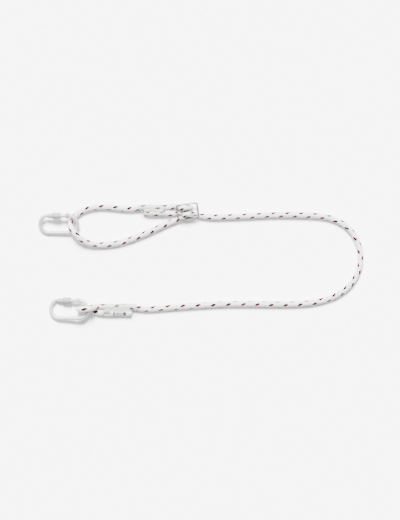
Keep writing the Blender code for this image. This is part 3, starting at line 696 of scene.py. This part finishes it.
def rope_material(settings):
    made, tree, shader = new_material("Braided rope cover")
    turns = uv_parts(tree, "Rope")
    braid = group_outputs(tree, braid_group(), {"Turns Along": turns["X"], "Turns Round": turns["Y"]})
    coords = object_coords(tree)
    soil = noise(tree, coords, 60.0, 4.0)
    fibre = noise(tree, coords, 1800.0, 2.0)
    cover = settings.cover_color
    # Painted shade: the cover darkens to 0.30 of its colour in the creases between the strands, where the
    # crown is low
    painted_crease_shade = smooth_mask(tree, braid["Crown"], 0.12, 0.70)
    plain = mix_color(tree, painted_crease_shade, darker(cover, 0.30), cover)
    strand_tone = calc(tree, "FRACT", calc(tree, "MULTIPLY", braid["Strand Number"], 0.37))
    tint = calc(tree, "MULTIPLY_ADD", strand_tone, 0.24, calc(tree, "MULTIPLY", soil, 0.16))
    plain = mix_color(tree, tint, plain, darker(cover, 0.50))
    speckle = smooth_mask(tree, fibre, 0.35, 0.7, 0.0, 0.10)
    plain = mix_color(tree, speckle, plain, (0.93, 0.92, 0.90))
    across = calc(tree, "MULTIPLY_ADD", fibre, 0.10, braid["Marker Offset"])
    black_yarns = smooth_mask(tree, across, 0.46, 0.52, 1.0, 0.0)
    marker = mix_color(tree, black_yarns, settings.marker_red, settings.marker_black)
    height = calc(tree, "MULTIPLY_ADD", braid["Yarns"], 0.35, braid["Crown"])
    plug(tree, shader, {
        "Base Color": mix_color(tree, braid["Marker"], plain, marker),
        "Roughness": calc(tree, "MULTIPLY_ADD", fibre, 0.15, 0.72),
        "Specular IOR Level": 0.05,
        "Normal": bump(tree, height, 0.6, 0.0006),
    })
    return made


def metal_material(name, color, roughness, turn, bare, scratch_scale=260.0, dark=0.72):
    """Metal with handling marks that run along the piece. A dull plating is less than wholly bare."""
    made, tree, shader = new_material(name)
    marks = group_outputs(
        tree,
        made_once(bpy.data.node_groups, "Metal Handling Marks", wear_group),
        {"Vector": object_coords(tree, turn=turn), "Scratch Scale": scratch_scale},
    )
    share = smooth_mask(tree, marks["Blotches"], 0.35, 0.75, 0.0, 0.5)
    plug(tree, shader, {
        "Base Color": mix_color(tree, share, color, darker(color, dark)),
        "Metallic": bare,
        "Roughness": calc(tree, "MULTIPLY_ADD", marks["Scratches"], 0.16, roughness - 0.05),
        "Normal": bump(tree, marks["Scratches"], 0.12, 0.0001),
    })
    return made


def slide_material(settings):
    """Round rod with a painted dark reflection: near black on the sides that face along the slide, the plain
    colour above and below.
    """
    made = metal_material("Polished slide rod", settings.slide_color, 0.42, (0, 0, SLIDE_TURN), 0.8)
    tree = made.node_tree
    color = tree.nodes["Principled BSDF"].inputs["Base Color"]
    rod_color = color.links[0].from_socket
    # Painted dark reflection: near the rod's middle height, on the sides that face along the slide, the
    # colour goes near black and fades to the plain colour towards the top and bottom
    rise = calc(tree, "SUBTRACT", split(tree, object_coords(tree))["Z"], SLIDE_CENTRE[2])
    painted_edge_from, painted_edge_to = 0.70 * SLIDE_ROD_RADIUS, 0.92 * SLIDE_ROD_RADIUS
    painted_edge_fade = smooth_mask(tree, calc(tree, "ABSOLUTE", rise), painted_edge_from, painted_edge_to)
    put(tree, color, mix_color(tree, painted_edge_fade, (0.006, 0.006, 0.005), rod_color))
    return made


def thread_material():
    made, tree, shader = new_material("Stitching thread")
    values = {"Scale": 900.0, "Distortion": 2.0, "Vector": object_coords(tree)}
    lay = new_node(tree, "TexWave", values).outputs["Fac"]
    plug(tree, shader, {
        "Base Color": mix_color(tree, lay, (0.62, 0.61, 0.58), (0.86, 0.85, 0.82)),
        "Roughness": 0.75,
        "Normal": bump(tree, lay, 0.5, 0.0002),
    })
    return made


def film_material():
    """Clear shrink film: mostly see-through, with soft wrinkles, and painted white glints along some of them.
    """
    made, tree, shader = new_material("Clear shrink film")
    wrinkles = noise(tree, object_coords(tree, scale=(1.0, 2.2, 2.2)), 120.0, 3.0)
    # Painted highlight: along some wrinkles the film is painted white and made more opaque, as glints
    painted_glint_streaks = smooth_mask(tree, wrinkles, 0.59, 0.68)
    plug(tree, shader, {
        "Base Color": mix_color(tree, painted_glint_streaks, (0.08, 0.08, 0.08), (0.80, 0.80, 0.80)),
        "Alpha": calc(tree, "MULTIPLY_ADD", painted_glint_streaks, 0.22, 0.10),
        "Roughness": calc(tree, "MULTIPLY_ADD", wrinkles, 0.2, 0.08),
        "IOR": 1.45,
        "Normal": bump(tree, wrinkles, 0.35, 0.0012),
    })
    return made


def label_material():
    """A plain strip with a ruled frame and blank lines, and nothing written on it."""
    made, tree, shader = new_material("Blank label")
    do = partial(calc, tree)
    parts = uv_parts(tree, "Label")
    print_wear = noise(tree, object_coords(tree), 900.0, 3.0)

    def band(value, low, high):
        return do("MULTIPLY", do("GREATER_THAN", value, low), do("LESS_THAN", value, high))

    ink = 0.0
    for low, high, bottom, top, tone in LABEL_INK:
        box = do("MULTIPLY", band(parts["X"], low, high), band(parts["Y"], bottom, top))
        ink = do("MULTIPLY_ADD", do("SUBTRACT", tone, ink), box, ink)
    ink = do("MULTIPLY", ink, smooth_mask(tree, print_wear, 0.26, 0.34, 0.75, 1.0))
    plug(tree, shader, {
        "Base Color": mix_color(tree, ink, (0.70, 0.70, 0.69), (0.008, 0.008, 0.008)),
        "Roughness": 0.5,
        "Normal": bump(tree, print_wear, 0.1, 0.0001),
    })
    return made


# The rope
def smooth_route(points):
    """Fine samples of one smooth curve through the points, with their places along it."""
    knots = np.array(points)
    spans = np.sqrt(np.linalg.norm(np.diff(knots, axis=0), axis=1))
    count = len(knots)
    left = np.eye(count)
    right = np.zeros((count, 3))
    for index in range(1, count - 1):
        before, after = spans[index - 1], spans[index]
        left[index, index - 1 : index + 2] = before, 2 * (before + after), after
        slope_after = (knots[index + 1] - knots[index]) / after
        slope_before = (knots[index] - knots[index - 1]) / before
        right[index] = 6 * (slope_after - slope_before)
    bend = np.linalg.solve(left, right)
    samples = []
    for index, span in enumerate(spans):
        for share in np.arange(0, 1, 1 / SPAN_SAMPLES):
            done, rest = share * span, (1 - share) * span
            cubic = (bend[index] * rest**3 + bend[index + 1] * done**3) / (6 * span)
            from_start = (knots[index] / span - bend[index] * span / 6) * rest
            to_end = (knots[index + 1] / span - bend[index + 1] * span / 6) * done
            samples.append(cubic + from_start + to_end)
    samples.append(knots[-1])
    samples = np.array(samples)
    steps = np.linalg.norm(np.diff(samples, axis=0), axis=1)
    return samples, np.concatenate([[0.0], np.cumsum(steps)])


def even_route(step):
    """Evenly spaced points on the rope's route, with their places along it."""
    samples, along = smooth_route(ROPE_ROUTE)
    places = np.linspace(0.0, along[-1], round(along[-1] / step) + 1)
    return np.stack([np.interp(places, along, samples[:, i]) for i in range(3)], axis=1), places


def carried_frames(points):
    """Two directions square to the route at each point, carried along it without twist."""
    ahead = np.gradient(points, axis=0)
    ahead /= np.linalg.norm(ahead, axis=1)[:, None]
    up = np.array([0.0, 0.0, 1.0])
    sides, ups = [], []
    for heading in ahead:
        up = up - heading * (up @ heading)
        up /= np.linalg.norm(up)
        ups.append(up)
        sides.append(np.cross(heading, up))
    return np.array(sides), np.array(ups)


def thickness_share(points, places):
    """The rope's thickness at each point: the slide presses it, and its cut ends are thinned for sewing."""
    away = np.linalg.norm(points[:, :2] - np.array(SLIDE_CENTRE[:2]), axis=1)
    from_end = np.minimum(places, places[-1] - places)
    pressed = np.interp(away, PRESSED_DISTANCES, PRESSED_SHARES)
    return pressed * np.interp(from_end, TAIL_DISTANCES, TAIL_SHARES)


def strand_crown(along, around):
    """Height of the plaited strands over the cover's valleys, from 0 to 1, as the braid group has it."""
    right, left = STRANDS * (around + along), STRANDS * (around - along)
    step = (np.floor(right) + np.floor(left)) % 4
    right_offset, left_offset = right % 1 - 0.5, left % 1 - 0.5
    top = step < 1.5
    offset = np.where(top, right_offset, left_offset)
    travel = np.where(top, step + 0.5 + left_offset, step - 1.5 + right_offset) / 2
    width = 1 - np.abs(2 * offset) ** 3
    return width * (END_CROWN + (1 - END_CROWN) * np.sin(np.pi * travel))


def table_value(table, places):
    return np.interp(places, [row[0] for row in table], [row[1] for row in table])


def cover_twist(places, across, up):
    """Turns of the weave at each place, so that its rows of marks lie as the table has them."""
    frame_turn = np.unwrap(np.arctan2(across[:, 2], up[:, 2])) / (2 * np.pi)
    table = [(place, left / 360 - np.interp(place, places, frame_turn)) for place, left in COVER_TURN]
    return table_value(table, places) + MARK_PHASE_ROUND


def build_rope(settings):
    points, places = even_route(settings.ring_step)
    sides = settings.sides
    mesh = tube_mesh(points, settings.diameter / 2, sides)
    across, up = carried_frames(points)
    angle = np.arange(sides) * 2 * np.pi / sides
    along = table_value(COVER_MARKS, places) / 2 + MARK_PHASE_ALONG
    twist = cover_twist(places, across, up)
    crown = strand_crown(along[:, None], angle[None, :] / (2 * np.pi) + twist[:, None])
    thick = thickness_share(points, places) * settings.diameter / 2
    radius = thick[:, None] - settings.strand_relief * (1 - crown)
    turn = angle[None, :, None]
    outward = np.cos(turn) * up[:, None] + np.sin(turn) * across[:, None]
    place_rings(mesh, points[:, None] + radius[:, :, None] * outward)
    write_rope_uv(mesh, along, twist, sides)
    material = rope_material(settings)
    return add_piece("rope_cover", mesh, ROPE_SHARP, "rope_and_slide", "rope", material), points


def place_rings(mesh, surface):
    """Moves each ring of the tube to its worked-out places."""
    coords = np.zeros(len(mesh.vertices) * 3)
    mesh.vertices.foreach_get("co", coords)
    coords[: surface.size] = surface.ravel()
    mesh.vertices.foreach_set("co", coords)
    mesh.update()


def write_rope_uv(mesh, along, twist, sides):
    """Turns along the rope and turns round it, as the cover's pattern reads them."""
    layer = mesh.uv_layers.new(name="Rope")
    for face in mesh.polygons:
        numbers = [number % sides for number in face.vertices]
        wraps = 0 in numbers and sides - 1 in numbers
        for loop, number in zip(face.loop_indices, face.vertices):
            ring, place = divmod(number, sides)
            ring = min(ring, len(along) - 1)
            place += sides if wraps and place == 0 else 0
            layer.data[loop].uv = (along[ring], place / sides + twist[ring])


def stitch_points(tail, length, rise, waves, phase):
    """A zigzag thread across the valley between the legs."""
    count = waves * STITCH_POINTS
    points = []
    for index in range(count + 1):
        turn = 2 * math.pi * index / STITCH_POINTS + phase
        x = tail[0] + length * (index / count - 0.5)
        y = tail[1] + LEG_SPACING / 2 + STITCH_HALF_WIDTH * math.sin(turn)
        points.append((x, y, LEG_HEIGHT + rise + STITCH_DIP * math.cos(2 * turn)))
    return points


def build_stitching(name, node, tail, length, waves):
    """Two zigzag threads that cross in the valley between the legs."""
    first, second = (
        tube_mesh(stitch_points(tail, length, rise, waves, phase), STITCH_RADIUS, STITCH_SIDES)
        for rise, phase in STITCH_THREADS
    )
    with editing(first) as work:
        work.from_mesh(second)
    material = made_once(bpy.data.materials, "Stitching thread", thread_material)
    return add_piece(name, first, THREAD_SHARP, "rope_and_slide", node, material)


def film_section(half_spacing, radius, pinch):
    """A stadium whose long sides sink towards the valley between the legs."""
    outline = []
    for sign in (1, -1):
        middle, start = (sign * half_spacing, 0.0), -sign * QUARTER
        outline += arc(middle, radius, start, start + 2 * QUARTER, FILM_ARC_STEPS)
        for share in (0.25, 0.5, 0.75):
            y = sign * half_spacing * (1 - 2 * share)
            outline.append((y, sign * radius * (1 - pinch * math.sin(math.pi * share))))
    return outline


def build_film(name, node, tail, ends, room, tip, tip_shift):
    """Clear film shrunk over both legs. Past the tail's cut end, on the tip side, it draws in round
    the one leg that goes on. The ends are measured from the tail's middle."""
    low, high = ends
    rows = []
    for number in range(FILM_RINGS + 1):
        share = number / FILM_RINGS
        x = low + (high - low) * share
        to_tip = high - x if tip > 0 else x - low
        drawn = max(0.0, 1 - to_tip / FILM_TAPER)
        drawn = drawn * drawn * (3 - 2 * drawn)
        opened = min(1.0, min(share, 1 - share) * FILM_RINGS / FILM_OPEN_RINGS)
        ripple = sum(height * math.sin(waves * share * math.pi) for height, waves in FILM_RIPPLES)
        half = LEG_SPACING / 2 * (1 - FILM_TAPER_SHARE * drawn)
        y = tail[1] + LEG_SPACING - half + drawn * tip_shift
        z = LEG_HEIGHT + room / 2
        radius = FILM_INNER + opened * (room / 2 + ripple)
        section = film_section(half, radius, FILM_PINCH * (2 - opened) * (1 - drawn))
        rows.append([(tail[0] + x, y + across, z + up) for across, up in section])
    mesh = thickened(sheet_mesh(rows, closed=True), FILM_THICKNESS)
    material = made_once(bpy.data.materials, "Clear shrink film", film_material)
    return add_piece(name, mesh, FILM_SHARP, "rope_and_slide", node, material)


def build_label():
    """The strip over the eye's shorter leg, bent round it."""
    line = arc((0.0, 0.0), LABEL_INNER + LABEL_THICKNESS, LABEL_START, LABEL_END, LABEL_STEPS)
    places = [LABEL_LENGTH * (row / LABEL_ROWS - 0.5) for row in range(LABEL_ROWS + 1)]
    mesh = sheet_mesh([[(x, y, z) for y, z in line] for x in places])
    layer = mesh.uv_layers.new(name="Label")
    for corner, spot in zip(mesh.loops, layer.data):
        x, y, z = mesh.vertices[corner.vertex_index].co
        turn = math.atan2(z, y)
        spot.uv = (x / LABEL_LENGTH + 0.5, (LABEL_END - turn) / (LABEL_END - LABEL_START))
    mesh = thickened(mesh, LABEL_THICKNESS)
    place = Matrix.Translation((*EYE_TAIL, LEG_HEIGHT))
    return add_piece("label_strip", mesh, BAR_SHARP, "rope_and_slide", "label", label_material(), place)


# The slide
def slide_outline():
    x, y = SLIDE_HALF_LENGTH - SLIDE_CORNER, SLIDE_HALF_WIDTH - SLIDE_CORNER
    points = []
    for number, middle in enumerate(((x, y), (-x, y), (-x, -y), (x, -y))):
        start = number * QUARTER
        points += arc(middle, SLIDE_CORNER, start, start + QUARTER, SLIDE_CORNER_STEPS)
    return [(px, py, 0.0) for px, py in points]


def build_slide(settings):
    place = Matrix.Translation(SLIDE_CENTRE) @ Matrix.Rotation(SLIDE_TURN, 4, "Z")
    steel = slide_material(settings)
    ring = tube_mesh(slide_outline(), SLIDE_ROD_RADIUS, SLIDE_SIDES, closed=True)
    add_piece("slide_ring", ring, ROD_SHARP, "rope_and_slide", "slide_frame", steel, place)
    reach = SLIDE_HALF_WIDTH - WELD_INSET
    half = [(0.0, reach)] + [(SLIDE_ROD_RADIUS + rise, reach - back) for rise, back in WELD_BEAD]
    profile = half + [(SLIDE_ROD_RADIUS, 0.0)] + mirrored(half)
    bar = turned_mesh(profile[::-1], SLIDE_SIDES, axis="Z")
    bar.transform(Matrix.Rotation(-QUARTER, 4, "X"))
    add_piece("slide_crossbar", bar, BAR_SHARP, "rope_and_slide", "slide_bar", steel, place)


# The carabiners
def bar_path():
    """The bar's middle line from its nose round the spine to its tongue."""
    bend = RING_HALF_WIDTH
    x = RING_HALF_LENGTH - bend
    nose = HINGE_X + NOSE_FACE
    reach = RING_HALF_LENGTH + nose - NOSE_STRAIGHT
    last = math.acos((HINGE_X + EAR_RADIUS + EAR_BACK_GAP - x) / bend)
    points = [(nose, bend)]
    for px, py in arc((0.0, 0.0), 1.0, QUARTER, 2 * QUARTER, ARC_STEPS):
        points.append((nose - NOSE_STRAIGHT + reach * px, bend * py))
    points += arc((-x, 0.0), bend, 2 * QUARTER, 3 * QUARTER, ARC_STEPS)[1:]
    points += arc((x, 0.0), bend, -QUARTER, last, 2 * ARC_STEPS)
    return [(px - HINGE_X, py - bend, 0.0) for px, py in points]


def tongue_mesh():
    half_chord = math.sqrt(TONGUE_RADIUS**2 - TONGUE_FLAT**2)
    corner = math.atan2(half_chord, -TONGUE_FLAT)
    outline = arc((0.0, 0.0), TONGUE_RADIUS, corner, QUARTER, ARC_STEPS)
    outline += [(TONGUE_ROOT_LENGTH, TONGUE_ROOT_HALF), (TONGUE_ROOT_LENGTH, -TONGUE_ROOT_HALF)]
    outline += arc((0.0, 0.0), TONGUE_RADIUS, -QUARTER, -corner, ARC_STEPS)
    return plate_mesh(outline, 2 * TONGUE_HALF)


def disc_mesh(radius, half, steps, x=0.0):
    """A disc or pin whose axis is parallel to the hinge."""
    mesh = turned_mesh([(0.0, -half), (radius, -half), (radius, half), (0.0, half)], steps, axis="Z")
    mesh.transform(Matrix.Translation((x, 0.0, 0.0)))
    return mesh


def body_mesh(settings):
    """The bent bar with its hinge tongue, nose slot, pin groove, rivet hole and spine flat."""
    low, side, half = -2 * BAR_RADIUS, CUT_REACH, NOSE_SLOT_HALF
    spine = -2 * RING_HALF_WIDTH - BAR_RADIUS
    slot = (NOSE_FACE - NOSE_SLOT_DEPTH, low, -half), (NOSE_FACE + CUT_OVERRUN, NOSE_CEILING, half)
    groove = (PIN_X - PIN_ROOM_FRONT, low, -side), (PIN_X + PIN_ROOM_BACK, HOOK_CEILING, side)
    flat = (
        (-HINGE_X - FLAT_HALF_LENGTH, spine - CUT_REACH, -side),
        (-HINGE_X + FLAT_HALF_LENGTH, spine + FLAT_DEPTH, side),
    )
    hole = disc_mesh(RIVET_RADIUS + RIVET_ROOM, CUT_REACH, settings.round_steps)
    bar = tube_mesh(bar_path(), BAR_RADIUS, BAR_SIDES)
    cut = [block_mesh(*slot), block_mesh(*groove), hole, block_mesh(*flat)]
    return soften(combined(bar, [tongue_mesh()], cut), EDGE_ROUNDING, ROUNDED_ANGLE)


def gate_mesh(settings):
    """The gate: threaded front, tip tongue, shank and the fork that holds the hinge."""
    r = BAR_RADIUS
    profile = [(0.0, GATE_FRONT), (r - GATE_CHAMFER, GATE_FRONT), (r, GATE_FRONT + GATE_CHAMFER)]
    for ridge in range(THREAD_RIDGES):
        start = THREAD_FRONT + ridge * THREAD_PITCH
        profile += [(THREAD_ROOT, start), (THREAD_ROOT, start + RIDGE_FOOT)]
        profile += [(THREAD_CREST, start + RIDGE_CREST), (THREAD_CREST, start + RIDGE_END)]
    rear = THREAD_FRONT + THREAD_RIDGES * THREAD_PITCH
    profile += [(THREAD_ROOT, rear), (r, rear + RIDGE_CREST), (r, 0.0), (0.0, 0.0)]
    tip_low = (NOSE_FACE - TIP_REACH, -TIP_HALF_WIDTH, -TIP_HALF)
    tip_high = (GATE_FRONT + TIP_ROOT, TIP_HALF_WIDTH, TIP_HALF)
    fork = (-FORK_DEPTH, -CUT_REACH, -FORK_SLOT), (CUT_REACH, CUT_REACH, FORK_SLOT)
    bore = [(0.0, BORE_FROM), (BORE_RADIUS, BORE_FROM), (BORE_RADIUS, BORE_TO), (0.0, BORE_TO)]
    joined = [disc_mesh(EAR_RADIUS, FORK_HALF, settings.round_steps), block_mesh(tip_low, tip_high)]
    cut = [
        block_mesh(*fork),
        turned_mesh(bore, SMALL_STEPS),
        disc_mesh(RIVET_RADIUS + RIVET_ROOM, CUT_REACH, settings.round_steps),
        disc_mesh(PIN_HOLE_RADIUS, CUT_REACH, SMALL_STEPS, PIN_X),
    ]
    return clean(combined(turned_mesh(profile, settings.round_steps), joined, cut))


def sleeve_mesh(settings):
    """The sleeve: rounded edges, a shallow groove near each end, and the ring's groove inside."""
    half, outer, bore, corner = SLEEVE_LENGTH / 2, SLEEVE_RADIUS, SLEEVE_BORE, SLEEVE_CORNER
    outside = [(outer - depth, half - back) for depth, back in GRIP_GROOVE]
    edge = arc((half - corner, outer - corner), corner, 0.0, QUARTER, SLEEVE_CORNER_STEPS)
    outside += [(radius, place) for place, radius in reversed(edge)]
    ring_from, ring_to = half - RING_GROOVE_FROM, half - RING_GROOVE_TO
    inside = [(bore + SLEEVE_EDGE, half), (bore, half - SLEEVE_EDGE), (bore, ring_from)]
    inside += [(RING_GROOVE, ring_from), (RING_GROOVE, ring_to), (bore, ring_to)]
    inside += [(bore, SLEEVE_MOUTH - half), (bore + SLEEVE_MOUTH, -half)]
    middle = SLEEVE_FRONT + half
    rows = [(radius, place + middle) for radius, place in mirrored(outside) + outside + inside]
    return turned_mesh(rows, settings.round_steps + SLEEVE_MORE_STEPS)


def rivet_mesh(settings):
    seat = FORK_HALF + RIVET_ROOM
    angles = [QUARTER * index / RIVET_HEAD_STEPS for index in range(RIVET_HEAD_STEPS + 1)]
    lower = [(RIVET_HEAD_RADIUS * math.sin(a), -seat - RIVET_HEAD_HEIGHT * math.cos(a)) for a in angles]
    lower.append((RIVET_RADIUS, -seat))
    return turned_mesh(lower + mirrored(lower), BAR_SIDES, axis="Z")


def build_carabiner(side, settings):
    place = hinge_place(side)
    turn = tuple(place.inverted().to_euler())
    steel = metal_material(side + " body steel", settings.body_color, 0.60, turn, 0.5)
    gate_color = darker(settings.body_color, 0.94)
    gate_steel = metal_material(side + " gate steel", gate_color, 0.62, turn, 0.5)
    sleeve_steel = metal_material(side + " sleeve steel", settings.sleeve_color, 0.74, turn, 0.6, 420.0, 0.8)
    pin_steel = metal_material(side + " pin steel", (0.34, 0.34, 0.34), 0.52, turn, 0.7)
    for name, build, body, node, material in (
        ("_bent_bar", body_mesh, "_carabiner", "_body", steel),
        ("_gate_bar", gate_mesh, "_gate_arm", "_gate", gate_steel),
        ("_sleeve_tube", sleeve_mesh, "_screw_sleeve", "_sleeve", sleeve_steel),
        ("_hinge_rivet", rivet_mesh, "_carabiner", "_rivet", pin_steel),
    ):
        add_piece(side + name, build(settings), STEEL_SHARP, side + body, side + node, material, place)
    for node in ("latch_pin", "spring", "plunger", "retaining_ring"):
        kept = frame["nodes"][side + "_" + node]
        kept.data.materials.clear()
        kept.data.materials.append(pin_steel)


# The stage
def build_stage(settings):
    mesh = bpy.data.meshes.new("floor")
    with editing(mesh) as work:
        bmesh.ops.create_grid(work, x_segments=1, y_segments=1, size=FLOOR_HALF)
    floor = new_piece("floor", mesh)
    made, tree, shader = new_material("Pale floor")
    color = (*settings.floor_color, 1.0)
    plug(tree, shader, {"Base Color": color, "Roughness": 0.9, "Specular IOR Level": 0.0})
    mesh.materials.append(made)
    world = bpy.data.worlds.new("Soft room")
    world.use_nodes = True
    sky = world.node_tree.nodes["Background"]
    plug(world.node_tree, sky, {"Color": (1.0, 1.0, 1.0, 1.0), "Strength": settings.sky_strength})
    bpy.context.scene.world = world
    lamp = bpy.data.lights.new("Soft lamp", "SUN")
    lamp.energy = settings.lamp_strength
    lamp.angle = LAMP_SPREAD
    holder = new_object("Soft lamp", lamp)
    holder.rotation_euler = Vector(LAMP_AIM).to_track_quat("-Z", "Y").to_euler()


def build_camera(settings):
    camera = bpy.data.cameras.new("Camera")
    camera.sensor_fit = "VERTICAL"
    camera.sensor_height = SENSOR_HEIGHT
    camera.lens = camera.sensor_height * settings.camera_height / settings.view_height
    camera.clip_end = VIEW_LIMIT
    holder = new_object("Camera", camera)
    holder.location = (*PICTURE_MIDDLE, settings.camera_height)
    bpy.context.scene.camera = holder


class LANYARD_OT_stage(bpy.types.Operator):
    """Adds the floor, the light and the camera"""

    bl_idname = "lanyard.stage"
    bl_label = "Stage"

    def execute(self, context):
        build_stage(context.scene.lanyard_stage)
        build_camera(context.scene.lanyard_stage)
        return {"FINISHED"}


class LANYARD_OT_rope(bpy.types.Operator):
    """Builds the braided rope and what is sewn or shrunk onto it"""

    bl_idname = "lanyard.rope"
    bl_label = "Rope and stitched ends"

    def execute(self, context):
        rope, points = build_rope(context.scene.lanyard_rope)
        on_rope = [
            build_stitching("eye_stitching", "eye_seam", EYE_TAIL, **EYE_SEAM),
            build_stitching("slide_stitching", "slide_seam", SLIDE_TAIL, **SLIDE_SEAM),
            build_label(),
            build_film("eye_film", "eye_tube", EYE_TAIL, **EYE_FILM),
            build_film("slide_film", "slide_tube", SLIDE_TAIL, **SLIDE_FILM),
        ]
        return {"FINISHED"}


class LANYARD_OT_slide(bpy.types.Operator):
    """Builds the three-bar rope slide"""

    bl_idname = "lanyard.slide"
    bl_label = "Rope slide"

    def execute(self, context):
        build_slide(context.scene.lanyard_metal)
        return {"FINISHED"}


class LANYARD_OT_carabiners(bpy.types.Operator):
    """Builds both screw-sleeve carabiners"""

    bl_idname = "lanyard.carabiners"
    bl_label = "Carabiners"

    def execute(self, context):
        for side in SIDES:
            build_carabiner(side, context.scene.lanyard_metal)
        return {"FINISHED"}


class LANYARD_PT_panel(bpy.types.Panel):
    """Lists the lanyard's pieces and their settings"""

    bl_idname = "LANYARD_PT_panel"
    bl_label = "Lanyard"
    bl_space_type = "VIEW_3D"
    bl_region_type = "UI"
    bl_category = "Lanyard"

    def draw(self, context):
        for operator in OPERATORS:
            self.layout.operator(operator.bl_idname)
        scene = context.scene
        for settings in (scene.lanyard_rope, scene.lanyard_metal, scene.lanyard_stage):
            for name in settings.bl_rna.properties.keys():
                if name not in ("rna_type", "name"):
                    self.layout.prop(settings, name)


OPERATORS = (LANYARD_OT_stage, LANYARD_OT_rope, LANYARD_OT_slide, LANYARD_OT_carabiners)
SETTINGS = (LanyardRopeSettings, LanyardMetalSettings, LanyardStageSettings)


def register():
    for part in (*SETTINGS, *OPERATORS, LANYARD_PT_panel):
        bpy.utils.register_class(part)
    scene = bpy.types.Scene
    scene.lanyard_rope = PointerProperty(type=LanyardRopeSettings)
    scene.lanyard_metal = PointerProperty(type=LanyardMetalSettings)
    scene.lanyard_stage = PointerProperty(type=LanyardStageSettings)


def unregister():
    del bpy.types.Scene.lanyard_stage
    del bpy.types.Scene.lanyard_metal
    del bpy.types.Scene.lanyard_rope
    for part in reversed((*SETTINGS, *OPERATORS, LANYARD_PT_panel)):
        bpy.utils.unregister_class(part)


def main():
    register()
    bpy.ops.lanyard.stage()
    bpy.ops.lanyard.rope()
    bpy.ops.lanyard.slide()
    bpy.ops.lanyard.carabiners()


if __name__ == "__main__":
    main()
